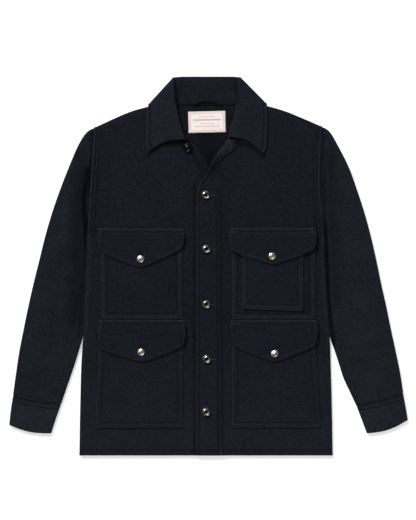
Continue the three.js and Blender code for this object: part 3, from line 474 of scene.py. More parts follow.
# %% Smooth lines
def smooth_line(points, by_length=True):
    """A smooth line through the points, as a function of 0 to 1, by length or by the points' order."""
    p = np.asarray(points, float)
    p = np.vstack([2 * p[0] - p[1], p, 2 * p[-1] - p[-2]])
    t = np.linspace(0, 1, 40, endpoint=False)[:, None]
    parts = []
    for a, b, c, d in zip(p, p[1:], p[2:], p[3:]):
        g0, g1, g2 = (np.linalg.norm(q - r) ** 0.5 for q, r in ((b, a), (c, b), (d, c)))
        g1 = g1 if g1 > 1e-4 else 1
        g0, g2 = (g if g > 1e-4 else g1 for g in (g0, g2))
        m1 = ((b - a) / g0 - (c - a) / (g0 + g1) + (c - b) / g1) * g1
        m2 = ((c - b) / g1 - (d - b) / (g1 + g2) + (d - c) / g2) * g1
        parts.append(b + m1 * t + (3 * (c - b) - 2 * m1 - m2) * t**2 + (2 * (b - c) + m1 + m2) * t**3)
    line = np.vstack([*parts, p[-2:-1]])
    steps = np.linalg.norm(np.diff(line[:, :2], axis=0), axis=1) if by_length else np.ones(len(line) - 1)
    share = np.concatenate([[0], np.cumsum(steps)]) / steps.sum()
    return lambda s: np.stack([np.interp(s, share, line[:, k]) for k in range(line.shape[1])], -1)


def smooth_rows(rows, share):
    """A table read between its rows: each pair of columns, x and y, as one smooth line."""
    rows = np.asarray(rows, float)
    pairs = [smooth_line(rows[:, k:k + 2], by_length=False)(share) for k in range(0, rows.shape[1] - 1, 2)]
    return np.concatenate(pairs, -1)


def between_rows(values, share):
    """A column of numbers read between its rows."""
    return np.interp(share * (len(values) - 1), np.arange(len(values)), values)


def joined(first, second, at):
    """Two lines as one, which changes from the first to the second at a share of its length."""
    return lambda s: np.where((np.asarray(s) < at)[..., None], first(np.asarray(s) / at),
                              second((np.asarray(s) - at) / (1 - at)))


# %% Lengths along the cloth
def direction(points, axis, ring=False):
    """Unit direction of the grid along one axis, weighted towards the nearer neighbour."""
    p = np.moveaxis(points, axis, 0)
    if ring:
        p = np.concatenate([p[-1:], p, p[:1]])
    step = np.diff(p, axis=0)
    length = np.maximum(np.linalg.norm(step, axis=-1, keepdims=True), 1e-9)
    unit = step / length
    middle = (unit[:-1] * length[1:] + unit[1:] * length[:-1]) / (length[1:] + length[:-1])
    if not ring:
        start = unit[:1] + (unit[:1] - unit[1:2]) * length[:1] / (length[:1] + length[1:2])
        end = unit[-1:] + (unit[-1:] - unit[-2:-1]) * length[-1:] / (length[-1:] + length[-2:-1])
        middle = np.concatenate([start, middle, end])
    return np.moveaxis(middle, 0, axis)


def run_lengths(points, axis):
    """Length along the grid from its first line."""
    step = np.linalg.norm(np.diff(points, axis=axis), axis=-1)
    start = np.zeros_like(np.take(step, [0], axis=axis))
    return np.concatenate([start, np.cumsum(step, axis=axis)], axis=axis)


class Lengths:
    """How far each grid point is from the four sides of its piece, in millimetres."""

    def __init__(self, mid, ring):
        across, along = run_lengths(mid, 1), run_lengths(mid, 0)
        self.first, self.last = across, across[:, -1:] - across
        self.low, self.top = along, along[-1:] - along
        self.edge = np.minimum(self.low, self.top)
        if not ring:
            self.edge = np.minimum(self.edge, np.minimum(self.first, self.last))


def drawn_in(distance, at, depth=0.75, width=1.6):
    """The dip that a line of stitches pulls into the cloth."""
    return -depth * np.exp(-(((distance - at) / width) ** 2))


# %% Cloth wall
def new_mesh(name, points, quads, material):
    """An object made from points in millimetres and faces between them."""
    data = bpy.data.meshes.new(name)
    data.from_pydata((points / 1000).tolist(), [], quads.tolist())
    data.polygons.foreach_set("use_smooth", np.ones(len(quads), bool))
    data.materials.append(material)
    piece = bpy.data.objects.new(name, data)
    scene.collection.objects.link(piece)
    return piece


def carry(piece, name, values):
    """Stores one number at each point of a mesh, for its material to read."""
    numbers = piece.data.attributes.new(name, "FLOAT", "POINT")
    numbers.data.foreach_set("value", np.asarray(values, np.float32))


TURNED_IN = 10  # the cloth is folded in this far along an edge, and is painted a little paler there, as painted highlight and wear
FADE = 0.14  # how much paler the cloth is at the hem and wrists than at the chest
GROOVE_SHADE = 1.1  # how much painted shade a groove of one millimetre gets


def wall_faces(rows, columns, ring):
    """The faces of the outside, the inside and the narrow edges between them."""
    grid = np.arange(rows * columns).reshape(rows, columns)
    wrap = np.concatenate([grid, grid[:, :1]], 1) if ring else grid
    outside = np.stack([wrap[:-1, :-1], wrap[:-1, 1:], wrap[1:, 1:], wrap[1:, :-1]], -1).reshape(-1, 4)
    inside = outside[:, ::-1] + rows * columns
    lines = [wrap[0], wrap[-1][::-1]] + ([] if ring else [wrap[::-1, 0], wrap[:, -1]])
    edges = [np.stack([k[1:], k[:-1], k[:-1] + rows * columns, k[1:] + rows * columns], -1) for k in lines]
    return np.concatenate([outside, inside, *edges])


def map_cloth(piece, quads, mid, far, ring):
    """Writes the UV map: how far across and along the cloth each corner is, in metres."""
    rows, columns = mid.shape[:2]
    point = quads.reshape(-1) % (rows * columns)
    uv = np.stack([far.first.reshape(-1)[point], far.low.reshape(-1)[point]], -1)
    if ring:
        round_tube = far.first[:, -1] + np.linalg.norm(mid[:, 0] - mid[:, -1], axis=-1)
        column = (point % columns).reshape(-1, 4)
        crossing = (column.max(1) - column.min(1) > columns // 2)[:, None] & (column == 0)
        uv[:, 0] += np.where(crossing.reshape(-1), round_tube[point // columns], 0)
    piece.data.uv_layers.new(name="cloth").data.foreach_set("uv", (uv / 1000).reshape(-1))


def paled_by_light_and_wear(mid, far, painted_light_and_wear):
    """How pale the wool is painted: a little towards the hem, and most on the sides that
    `painted_light_and_wear` lists, as painted highlight and wear.
    """
    pale = FADE * ease(100, 390, -mid[..., 1])
    for side, strength in painted_light_and_wear.items():
        near = 1
        if side != "all":
            away = getattr(far, side)
            near = np.maximum(1 - ease(0.7, 2.8, away), 0.25 * (1 - ease(TURNED_IN - 1, TURNED_IN + 1, away)))
        pale = np.maximum(pale, strength * near)
    return pale


def plain(far):
    return np.zeros_like(far.edge)


def shell(name, mid, thick, material, ring=False, raised=plain, painted_light_and_wear={}, painted_shade=NECK_SHADE, inner_up=False):
    """A closed wall of cloth round a grid of middle points (rows, columns, xyz), ready to ride on the jacket.

    Raised says how far the outside stands proud or is drawn in, painted_light_and_wear how pale each side is
    painted, as painted highlight and wear, and painted_shade where the wool is painted dark as shade."""
    rows, columns = mid.shape[:2]
    normal = np.cross(direction(mid, 1, ring), direction(mid, 0))
    normal /= np.linalg.norm(normal, axis=-1, keepdims=True)
    outward = mid - mid.mean(axis=1, keepdims=True) if ring else np.array([0.0, 0.0, 1.0])
    turned = (normal * outward).sum() < 0
    if turned:
        normal = -normal
    far = Lengths(mid, ring)
    lip = np.clip(far.edge / (thick / 2), 0, 1)
    half = thick / 2 * np.sqrt(np.clip(1 - (1 - lip) ** 2, 0.03, 1))[..., None]
    extra = raised(far) * ease(0, 1.2, far.edge)
    extra = np.where(normal[..., 2] < 0, np.minimum(extra, 0), extra)[..., None]
    outer, inner = mid + normal * (half + extra), mid - normal * half
    quads = wall_faces(rows, columns, ring)
    if turned:
        quads = quads[:, ::-1]
    piece = new_mesh(name, np.concatenate([outer.reshape(-1, 3), inner.reshape(-1, 3)]), quads, material)
    map_cloth(piece, quads, mid, far, ring)
    carry(piece, "painted_light_and_wear", np.tile(paled_by_light_and_wear(mid, far, painted_light_and_wear).reshape(-1), 2))
    dark = folds(mid[..., 0], mid[..., 1], painted_shade, np.maximum) + GROOVE_SHADE * np.clip(-raised(far), 0, 1)
    carry(piece, "painted_shade", np.tile(np.clip(dark, 0, 1).reshape(-1), 2))
    carry(piece, "inside", np.repeat([1.0, 0.0] if inner_up else [0.0, 1.0], rows * columns))
    piece.data.update()
    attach(piece, "root")
    return {"piece": piece, "outer": outer, "normal": normal, "far": far, "ring": ring}


# %% [markdown]
# ## What was cut
# Every piece of cloth was cut from a flat length. Measured along its grid, the made piece gives back the
# box that its flat cut filled, and the cut's area.

# %% Flat sizes
made = {}


def surface_area(points):
    """Area of the grid, in square metres."""
    p = points / 1000
    first, second = p[1:, 1:] - p[:-1, :-1], p[1:, :-1] - p[:-1, 1:]
    return float(np.linalg.norm(np.cross(first, second), axis=-1).sum() / 2)


def declare(name, mid):
    """Hides the plain piece that the made one stands in for, and measures its flat cut: the cut's box and its
    area.
    """
    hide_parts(name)
    if made[name]["ring"]:
        mid = np.concatenate([mid, mid[:, :1]], 1)
    area = surface_area(mid)
    lengths = Lengths(mid, False)
    wide, long = float(lengths.first[:, -1].max()) / 1000, float(lengths.low[-1].max()) / 1000
    wide, long = max(wide, area / long), max(long, area / wide)


# %% [markdown]
# ## Lanes
# A piece needs fine lines near its seams, where it turns or is stitched, and coarser ones between. A lane
# is a distance from the first side, written as `a + b * width`, so the same lanes fit every row of a
# shaped piece.


# %% Lanes
def lanes(near, middle, far):
    """Distances near the first side, `middle` even ones, and distances from the last side, as a and b."""
    share = np.linspace(0, 1, middle + 2)[1:-1]
    a = np.concatenate([near, near[-1] - share * (near[-1] + far[-1]), -np.array(far[::-1])])
    b = np.concatenate([np.zeros(len(near)), share, np.ones(len(far))])
    return a, b


def round_stitches(*rows):
    """Lines close to the edge for its lip, and close to each row of stitches."""
    wanted = {0.0, 0.25, 0.7, 1.4, 2.6}
    for at in rows:
        wanted |= {at - 1.5, at - 0.7, at, at + 0.7, at + 1.5}
    return sorted(w for w in wanted if w >= 0)


def between(low, top, start, end, u, v):
    """Points between four edge lines, each a function of 0 to 1."""
    low_end, top_end = low(np.array([0.0, 1.0])), top(np.array([0.0, 1.0]))
    u1, v1 = u[..., None], v[..., None]
    across = low(u) * (1 - v1) + top(u) * v1
    up = start(v) * (1 - u1) + end(v) * u1
    low_corners, top_corners = (pair[0] * (1 - u1) + pair[1] * u1 for pair in (low_end, top_end))
    return across + up - (low_corners * (1 - v1) + top_corners * v1)


def rim(along, round_share):
    """Cloth that turns round a side seam or shoulder: how far in it lies and how far it has dropped."""
    angle = np.minimum(along / RIM_RADIUS, math.pi / 2)
    turned = CLOTH / 2 + RIM_RADIUS * (1 - np.cos(angle)) + np.maximum(0, along - RIM_RADIUS * math.pi / 2)
    inset = along + (turned - along) * round_share * (1 - ease(10, 30, along))
    return inset, round_share * RIM_RADIUS * (1 - np.sin(angle))


def panel_points(place, across, up, rounds):
    """A body panel's places and drops. Rounds says how fully its first, last and top sides turn."""
    (au, bu), (av, bv) = across, up
    v_about = np.clip(av / 700 + bv, 0, 1)
    first, last = place(np.zeros_like(v_about), v_about), place(np.ones_like(v_about), v_about)
    width = np.linalg.norm(last - first, axis=-1)[:, None]
    along = au + bu * width
    inset, drop = rim(along, rounds["first"](first[:, 1])[:, None])
    if "last" in rounds:
        back_along = width - along
        back_inset, back_drop = rim(back_along, rounds["last"](last[:, 1])[:, None])
        inset = np.where(along > width / 2, width - back_inset, inset)
        drop = np.maximum(drop, back_drop)
    u = inset / width
    height = np.linalg.norm(place(u, np.ones_like(u)) - place(u, np.zeros_like(u)), axis=-1)
    rise = av[:, None] + bv[:, None] * height
    from_top = height - rise
    top_inset, top_drop = rim(from_top, rounds["top"](u))
    v = np.where(from_top < height / 2, height - top_inset, rise) / height
    return place(u, v), np.maximum(drop, top_drop)


# %% [markdown]
# ## The fronts and the back
# Each front is one panel from the side seam to the front edge and from the hem to the shoulder. At the
# side seam and the shoulder the cloth turns down to meet the back. Two rows of stitches run beside the
# armhole, one along the hem and one along the front edge, and the left front has two more where the
# button band is faced.

# %% Outlines of the body
SIDES = np.array([  # y, x on the right, x on the left
    (63.6, -257.6, 244.9), (4, -259.7, 247.6), (-57, -262.9, 251.2), (-119, -265.4, 255.5),
    (-163, -267.5, 258.5), (-208, -270.3, 259.7), (-284, -272.4, 261.8), (HEM_Y, -274.5, 264)])
SHOULDERS = {
    "right": [(-242.7, 293.6), (-168.5, 326.5), (-128.2, 338.1), (-102.8, 344.5)],
    "left": [(241.7, 295.7), (168.6, 326.5), (130, 338.1), (99.7, 344.5)]}
ARMHOLE_BOW = {"right": 0, "left": -6}
NECKLINES = {
    "right": [(-102.8, 344.5), (-95.8, 324.3), (-85.8, 303.1), (-75.2, 283), (-60.4, 267.1), (-48, 264.4),
              (-35.8, 261.4)],
    "left": [(99.7, 344.5), (92.2, 324.3), (81.6, 303.1), (69, 282.5), (55, 269.2), (47, 268.4), (41, 269.4)]}
BACK_NECK = [(-102.8, 344.5), (-68.9, 341.7), (-1, 340.2), (64.7, 341.7), (99.7, 344.5)]
FRONT_EDGES = {
    "right": [(-35.8, 261.4), (-26.5, 250.1), (-11.6, 228.9), (0, 208.8), (9.6, 186.5), (14, 165),
              (15.5, 140), (15.9, 110), (15.9, 60), (15.9, HEM_Y)],
    "left": [(41, 269.4), (33.7, 259), (20.4, 242.5), (9.6, 225.5), (0.7, 208.6), (-7.4, 192.9),
             (-19.1, 171.7), (-23.7, 152.6), (-25.2, 118.7), (-25.2, 60), (-25.2, HEM_Y)]}
UNDERARM_SHARE, SHOULDER_SHARE, BACK_SHOULDER_SHARE = 0.67, 0.56, 0.31  # where along an edge the seams meet
SIDE_COLUMN = {"right": 1, "left": 2}


def armhole(side):
    """The seam line from the shoulder's end down to the underarm."""
    top, low = np.array(SHOULDERS[side][0]), np.array([SIDES[0][SIDE_COLUMN[side]], SIDES[0][0]])

    def line(s):
        s = np.asarray(s)[..., None]
        bow = np.concatenate([ARMHOLE_BOW[side] * np.sin(math.pi * s), 0 * s], -1)
        return top + (low - top) * s + bow
    return line


def body_edge(side):
    """From the hem up the side seam to the underarm, and on along the armhole."""
    seam = smooth_line([(row[SIDE_COLUMN[side]], row[0]) for row in SIDES[::-1]])
    hole = armhole(side)
    return joined(seam, lambda s: hole(1 - s), UNDERARM_SHARE)


def side_round(y):
    """The cloth turns round at the side seam, and lies open at the armhole, where the sleeve is sewn on."""
    return 1 - ease(SIDES[0][0] - 22, SIDES[0][0] - 2, y)


# %% Fronts
ARMHOLE_ROWS, HEM_ROW, FRONT_EDGE_ROW, BAND_ROWS, FACING_ROW = (7, 15), 10.5, 4.9, (45.8, 54.3), 21
BAND_TOP = 161
TURN = [SEAM / 2, 0.8, 1.4, 2.0, 2.6, 3.2, RIM_RADIUS * math.pi / 2, 4.6]  # lines where the cloth turns round
for side in ("right", "left"):
    edge_line = smooth_line(FRONT_EDGES[side][::-1])
    top_line = joined(smooth_line(SHOULDERS[side]), smooth_line(NECKLINES[side]), SHOULDER_SHARE)
    x_low = SIDES[-1][SIDE_COLUMN[side]], FRONT_EDGES[side][-1][0]

    def low_line(s, x_low=x_low):
        return np.stack([x_low[0] + (x_low[1] - x_low[0]) * s, np.full_like(s, HEM_Y)], -1)

    def place(u, v, low_line=low_line, top_line=top_line, start=body_edge(side), edge_line=edge_line):
        return between(low_line, top_line, start, edge_line, u, v)

    near = TURN + [5.5, 6.3, 7, 7.7, 8.5, 10.5, 13.5, 14.3, 15, 15.7, 16.5, 19]
    band = list(BAND_ROWS) if side == "left" else [FACING_ROW]
    far = round_stitches(FRONT_EDGE_ROW, *band)
    far = sorted(set(far) | {9.5, 13, 16.5} | ({26, 30, 34, 38, 42, 50} if side == "left" else {25}))
    across = lanes(near, 46, far)
    up = lanes(round_stitches(HEM_ROW), 150, sorted(set(TURN) | {6, 8, 11, 14}))
    spot, drop = panel_points(place, across, up, {
        "first": side_round, "top": lambda u: 1 - ease(SHOULDER_SHARE, SHOULDER_SHARE + 0.05, u)})
    z = front_top(spot[..., 0], spot[..., 1], side) - CLOTH / 2 - drop
    mid = np.concatenate([spot, z[..., None]], -1)

    def stitched(far, side=side, spot=spot):
        y = spot[..., 1]
        high = sum(drawn_in(far.first, at) for at in ARMHOLE_ROWS)
        high = (high + 0.6 * (1 - ease(3, 6, far.first))) * ease(52, 66, y)
        high = high + drawn_in(far.low, HEM_ROW, 0.45) + drawn_in(far.last, FRONT_EDGE_ROW, 0.5)
        if side == "left":
            band_rows = sum(drawn_in(far.last, at, 0.6) for at in BAND_ROWS)
            high = high + band_rows * (1 - ease(BAND_TOP - 4, BAND_TOP + 4, y))
        else:
            high = high + drawn_in(far.last, FACING_ROW) * ease(150, 170, y)
        return high

    name = f"front_{side}"
    made[name] = shell(name + "_wool", mid, CLOTH, navy, raised=stitched,
                       painted_light_and_wear={"first": 0.5, "last": 0.28 if side == "left" else 0.8, "low": 0.4, "top": 0.3})
    declare(name, mid)

# %% [markdown]
# The back is a single panel. Its top follows both shoulders and the neck, and its side seams and
# shoulders turn up to meet the fronts. What shows of it in the neck opening is its inside, which lies in
# shade, and that shade is painted into its colour.

# %% Back
shoulder_right, shoulder_left = smooth_line(SHOULDERS["right"]), smooth_line(SHOULDERS["left"])
rest = joined(smooth_line(BACK_NECK), lambda s: shoulder_left(1 - s),
              (1 - 2 * BACK_SHOULDER_SHARE) / (1 - BACK_SHOULDER_SHARE))
back_top_line = joined(shoulder_right, rest, BACK_SHOULDER_SHARE)
back_sides = body_edge("right"), body_edge("left")


def back_low(s):
    return np.stack([SIDES[-1][1] + (SIDES[-1][2] - SIDES[-1][1]) * s, np.full_like(s, HEM_Y)], -1)


def back_place(u, v):
    return between(back_low, back_top_line, *back_sides, u, v)


across = lanes(TURN + [7, 11, 16], 74, TURN + [7, 11, 16])
up = lanes(round_stitches(HEM_ROW), 112, sorted(set(TURN) | {6, 8, 11, 14}))
spot, drop = panel_points(back_place, across, up, {
    "first": side_round, "last": side_round,
    "top": lambda u: ease(0.5 - BACK_SHOULDER_SHARE - 0.03, 0.5 - BACK_SHOULDER_SHARE, np.abs(u - 0.5))})
back_mid = np.concatenate([spot, (CLOTH / 2 + collar_lift(spot[..., 0], spot[..., 1]) + drop)[..., None]], -1)
made["back"] = shell("back_wool", back_mid, CLOTH, navy, painted_shade=INSIDE_SHADE, inner_up=True)
declare("back", back_mid)

# %% [markdown]
# ## Sleeves and cuffs
# A sleeve laid flat is a tube with a round fold on each long side. Its sections fan out from the armhole,
# and its underarm edge lies against the side seam until the sleeve swings clear. The cuff is a separate
# band, sewn on with two rows of stitches.


# %% Sleeve sections
FREE = None  # an inner edge that lies against the side seam
SLEEVES = {  # outer edge x and y, inner edge x and y, bow
    "right": [(-242.7, 293.6, FREE, 63.6, 0), (-257.6, 284.1, FREE, 48.7, 1), (-273.5, 260.7, FREE, 33.9, 2),
              (-295.7, 209.9, FREE, 4, 4), (-314.8, 161.1, FREE, -27.6, 5), (-331.8, 112.3, FREE, -57, 5),
              (-346.6, 61.5, FREE, -86.9, 5), (-359.3, 10.6, FREE, -119, 5), (-372, -40.3, FREE, -148.4, 4),
              (-382.6, -86.9, -274.5, -178.1, 4), (-392.2, -133.6, -283.5, -207.8, 3),
              (-401.7, -182.3, -293.6, -237.5, 3), (-409.1, -231.1, -303.1, -265, 3),
              (-415.5, -277.7, -312.7, -293.6, 3)],
    "left": [(241.7, 295.7, FREE, 63.6, -6), (255.5, 286.2, FREE, 48.7, -4), (272.4, 258.6, FREE, 33.9, -1),
             (297, 209.9, FREE, 4, 2), (314.8, 161.1, FREE, -27.6, 4), (330.7, 112.3, FREE, -57, 5),
             (344.5, 61.5, FREE, -86.9, 5), (356.2, 10.6, FREE, -119, 5), (366.8, -40.3, FREE, -148.4, 4),
             (377.4, -86.9, 267, -178.1, 4), (386.9, -133.6, 276.7, -207.8, 3),
             (397.5, -182.3, 286.2, -237.5, 3), (407.1, -229, 298.9, -265, 3),
             (413.4, -271.4, 313.8, -296.8, 3)]}
CUFFS = {
    "right": [(-415.5, -277.7, -312.7, -293.6, 3), (-419.9, -307.4, -322.4, -320.1, 5),
              (-423, -337.1, -333.9, -355.1, 6)],
    "left": [(413.4, -271.4, 313.8, -296.8, 3), (418.3, -298.9, 324.4, -324.4, 5),
             (423, -326.5, 336, -355.1, 7)]}
SLEEVE_CLEAR, ARMHOLE_SEAM, CUFF_SEAM = -0.3, -0.3, -0.15  # less than nothing, as sewn cloth presses together
TOP_LANES, UNDER_LANES, ROUND_POINTS = 34, 12, 13  # grid lines on a sleeve's top, below, and round each side


def side_x(side, y):
    """Where the side seam runs at a height."""
    return np.interp(-y, -SIDES[:, 0], SIDES[:, SIDE_COLUMN[side]])


def tube(rows, side, share, first_shift, last_shift):
    """Middle points of a flattened tube, from one end (share 0) to the other (1) of the listed sections."""
    clear = SLEEVE_CLEAR if side == "left" else -SLEEVE_CLEAR
    table = np.array([(x, y, side_x(side, iy) + clear if ix is FREE else ix, iy, bow)
                      for x, y, ix, iy, bow in rows])
    bow = between_rows(table[:, 4], share)[:, None, None]
    table = smooth_rows(table[:, :4], share)
    out, inside = table[:, None, 0:2], table[:, None, 2:4]
    width = np.linalg.norm(inside - out, axis=-1, keepdims=True)
    way = (inside - out) / width
    to_cuff = np.stack([way[..., 1], -way[..., 0]], -1) * (-1 if side == "left" else 1)
    edge = CLOTH / 2 + RIM_RADIUS
    arc = np.linspace(0, math.pi, ROUND_POINTS)
    flat_top, flat_under = (np.linspace(0, 1, n + 2)[1:-1] for n in (TOP_LANES, UNDER_LANES))
    a = np.concatenate([edge - RIM_RADIUS * np.sin(arc), edge - 2 * edge * flat_top,
                        RIM_RADIUS * np.sin(arc) - edge, -edge + 2 * edge * flat_under])[None, :, None]
    b = np.concatenate([np.zeros(ROUND_POINTS), flat_top, np.ones(ROUND_POINTS),
                        1 - flat_under])[None, :, None]
    level = np.concatenate([-np.cos(arc), np.ones(TOP_LANES), np.cos(arc), -np.ones(UNDER_LANES)])[None, :]
    s = a + b * width
    shift = np.zeros((len(share), 1, 1))
    shift[0], shift[-1] = first_shift, last_shift
    spot = out + way * s + to_cuff * (bow * np.sin(math.pi * np.clip(s / width, 0, 1)) + shift)
    x, y = spot[..., 0], spot[..., 1]
    high = np.where(level > 0, (front_top(x, y, "right") - BODY_THICK) * level, 0)
    return np.concatenate([spot, (RIM_MID + RIM_RADIUS * level + high)[..., None]], -1)


# %% Sleeves and cuffs
CUFF_ROWS = (2, 10.2)
CUFF_LINES = np.array([  # finer by the stitches and at the wrist
    0, 0.25, 0.7, 1.2, 2, 2.8, 4, 6, 8, 9.3, 10, 10.7, 12, 15, 19, 23, 27, 31, 35, 39, 43, 47, 51, 54, 56,
    57.4, 58.5, 59.3, 59.8, 60]) / 60
for side in ("right", "left"):
    mid = tube(SLEEVES[side], side, np.linspace(0, 1, 140), ARMHOLE_SEAM, -CUFF_SEAM)
    name = f"sleeve_{side}"
    made[name] = shell(name + "_wool", mid, CLOTH, navy, ring=True, painted_shade=FOLD_SHADE,
                       painted_light_and_wear={"all": 0.11 if side == "right" else 0.16},
                       raised=lambda far: -0.7 * (1 - ease(0, 8, far.low)))
    declare(name, mid)
    mid = tube(CUFFS[side], side, CUFF_LINES, CUFF_SEAM, 0)
    name = f"cuff_{side}"
    made[name] = shell(name + "_wool", mid, CLOTH, navy, ring=True,
                       painted_light_and_wear={"all": 0.28, "low": 0.35, "top": 0.5},
                       raised=lambda far: sum(drawn_in(far.low, at, 0.5) for at in CUFF_ROWS))
    declare(name, mid)

# %% [markdown]
# ## The collar and the turned-back corner
# The collar is one strip of doubled wool: it stands up from the neck seam, turns over at the roll line
# and falls outside. Laid on its back, the jacket lies on the back of the fall, while both collar points
# lie on the fronts. Below it the left front rolls back into a small lapel, which shows its facing.

# %% Collar
COLLAR = np.array([  # neck x and y, roll x and y, edge x and y, bow, turn
    (-62.5, 269.2, -49.8, 267.9, -124.5, 244.8, 7.5, 90), (-67.5, 275, -52.5, 276.5, -131, 256, 5.5, 90),
    (-75.2, 283, -57.7, 292.5, -131.5, 271, 3, 90), (-85.8, 303.1, -64.5, 318, -131.3, 294.7, 0, 90),
    (-95.8, 324.3, -70, 345.5, -130.8, 318, 0, 90), (-100.8, 338.1, -72.5, 373.1, -128.6, 333.9, 0, 90),
    (-102.8, 344.5, -69.5, 394, -123.5, 337, 0, 135), (-102.8, 344.5, -68.5, 395.5, -122.5, 337, 0, 180),
    (-102, 344.3, -66.5, 397, -121.5, 337, 0, 225), (-92, 343.4, -62.5, 399.6, -107, 334, 0, 270),
    (-68.9, 341.7, -47.7, 400.2, -77.4, 330.7, 0, 270), (-35, 340.6, -24.4, 400.3, -39, 328.6, 0, 270),
    (-1, 340.2, -1, 400.3, -1, 328.2, 0, 270), (33, 340.6, 22.4, 400.3, 37, 328.6, 0, 270),
    (64.7, 341.7, 45.2, 400.2, 75.4, 330.7, 0, 270), (88, 343.4, 57.5, 399.6, 103, 334, 0, 270),
    (98.9, 344.3, 60.5, 397, 117.5, 338, 0, 225), (99.7, 344.5, 61.5, 395.5, 118.8, 338, 0, 180),
    (99.7, 344.5, 62.5, 394, 120, 337.8, 0, 135), (97.5, 338.1, 63.6, 373.1, 122.8, 333.9, 0, 90),
    (92.2, 324.3, 60.5, 345.5, 124.5, 318, 0, 90), (81.6, 303.1, 54.1, 315.9, 124.3, 292.5, 0, 90),
    (69, 284.1, 46.7, 292.5, 123.4, 265, 4, 90), (61.5, 277.5, 44.3, 281.5, 121, 249.5, 7.5, 90),
    (55.5, 272.8, 42.5, 273.2, 115.5, 238.5, 10, 90)])
ROLL_RADIUS = 2.2
NECK_CLEAR, EDGE_LIFT, STAND_RISE, OVER_LAPEL = 1.6, 0.5, 0.9, 2.9
COLLAR_ROW, FALL_WIDTH = 7, 72


def under_fall(x, y):
    """Height of the collar's middle where it lies on the fronts, and on the turned-back corner."""
    over = np.where(x > 0, OVER_LAPEL * (1 - ease(60, 74, x)) * (1 - ease(276, 292, y)), 0)
    left, right = front_top(x, y, "left"), front_top(x, y, "right")
    return np.where(x > 0, left, right) + over + LAY + COLLAR_CLOTH / 2


def collar_points(count):
    """Middle points of the collar: from the neck seam up the stand, over the roll line and down the fall."""
    share = np.linspace(0, 1, count)
    table = smooth_rows(COLLAR[:, :6], share)
    bow, turn = between_rows(COLLAR[:, 6], share)[:, None], np.radians(between_rows(COLLAR[:, 7], share))
    neck, roll, edge = table[:, 0:2], table[:, 2:4], table[:, 4:6]
    way = (roll - neck) / np.linalg.norm(roll - neck, axis=-1, keepdims=True)
    side = np.where(neck[:, :1] < 0, -1.0, 1.0)
    out = np.stack([way[:, 1], -way[:, 0]], -1) * side
    sine, cosine = np.sin(turn)[:, None], np.cos(turn)[:, None]
    normal = np.concatenate([-cosine * out, sine], -1)
    way3 = np.concatenate([way, 0 * sine], -1)
    neck_mid = RIM_MID + collar_lift(neck[:, :1], neck[:, 1:2]) + RIM_RADIUS * sine
    clear = np.where(turn[:, None] > math.pi, SEAM, NECK_CLEAR)
    seam = np.concatenate([neck - cosine * RIM_RADIUS * out + way * clear, neck_mid], -1)
    fold = np.concatenate([roll - cosine * RIM_RADIUS * out, neck_mid + STAND_RISE], -1) - way3 * ROLL_RADIUS
    fall = fold + normal * 2 * ROLL_RADIUS
    top = under_fall(edge[:, :1], edge[:, 1:2]) + EDGE_LIFT
    radius = (top - COLLAR_CLOTH / 2) / 2
    lip = np.concatenate([edge - cosine * radius * out, COLLAR_CLOTH / 2 + radius * (1 + sine)], -1)
    down = (lip - fall)[:, :2] / np.linalg.norm((lip - fall)[:, :2], axis=-1, keepdims=True)
    up_front = np.stack([-down[:, 1], down[:, 0]], -1)
    up_front = np.where(up_front[:, 1:2] < 0, -up_front, up_front)
    up_stand = np.concatenate([[0, 0.006, 0.016, 0.03], np.linspace(0.06, 1, 16)])
    sections = [seam + (fold - seam) * t for t in up_stand]
    for a in np.linspace(0, math.pi, 10)[1:-1]:
        sections.append(fold + normal * ROLL_RADIUS * (1 - math.cos(a)) + way3 * ROLL_RADIUS * math.sin(a))
    by_the_edge = 1 - np.array([7.7, COLLAR_ROW, 6.3, 5.5, 4, 2.6, 1.6, 0.9, 0.35, 0]) / FALL_WIDTH
    for t in np.concatenate([np.linspace(0, 0.88, 24), by_the_edge]):
        p = fall + (lip - fall) * t
        p[:, :2] += up_front * bow * math.sin(math.pi * t)
        front = np.abs(turn - math.pi / 2) < 0.02
        p[front, 2] = np.maximum(p[front, 2], under_fall(p[front, 0], p[front, 1]) + 0.2)
        sections.append(p)
    return np.stack(sections, 1)


collar_mid = collar_points(176)
end = [0, 0.12, 0.35, 0.65]
collar_mid = np.concatenate([
    np.stack([collar_mid[0] + (collar_mid[1] - collar_mid[0]) * t for t in end]), collar_mid[1:-1],
    np.stack([collar_mid[-1] + (collar_mid[-2] - collar_mid[-1]) * t for t in end[::-1]])])
made["collar"] = shell(
    "collar_wool", collar_mid, COLLAR_CLOTH, lit_navy_collar,
    painted_light_and_wear={"all": 0.1, "last": 0.6, "low": 0.45, "top": 0.45}, painted_shade=STAND_SHADE,
    raised=lambda far: 0.35 * (1 - ease(4.5, 8, far.last)) + drawn_in(far.last, COLLAR_ROW))
declare("collar", collar_mid)


# %% [markdown]
# The corner that turns back is a strip of the left front beyond the roll line, so it lies on that front
# with its facing up. Its free edge carries one row of stitches and is painted pale, as painted highlight
# and wear.

# %% Turned-back corner
LAPEL = np.array([  # roll line x and y, free edge x and y
    (42, 268, 54, 268), (34, 258, 56.5, 249), (27.5, 250, 47, 242.5), (20.9, 241.5, 36, 235.5),
    (10.6, 225.5, 21.5, 223), (1.7, 208.6, 9, 208.5), (-6.4, 192.9, 0, 193.5), (-15.2, 177, -12, 177.5)])


def laid(x, y, side, layers, thick, rise=0.0):
    """Middle points of a piece that lies on a front, as many layers of wool above it."""
    z = front_top(x, y, side) + layers * (CLOTH + LAY) + LAY + thick / 2 + rise
    return np.stack([x, y, z], -1)


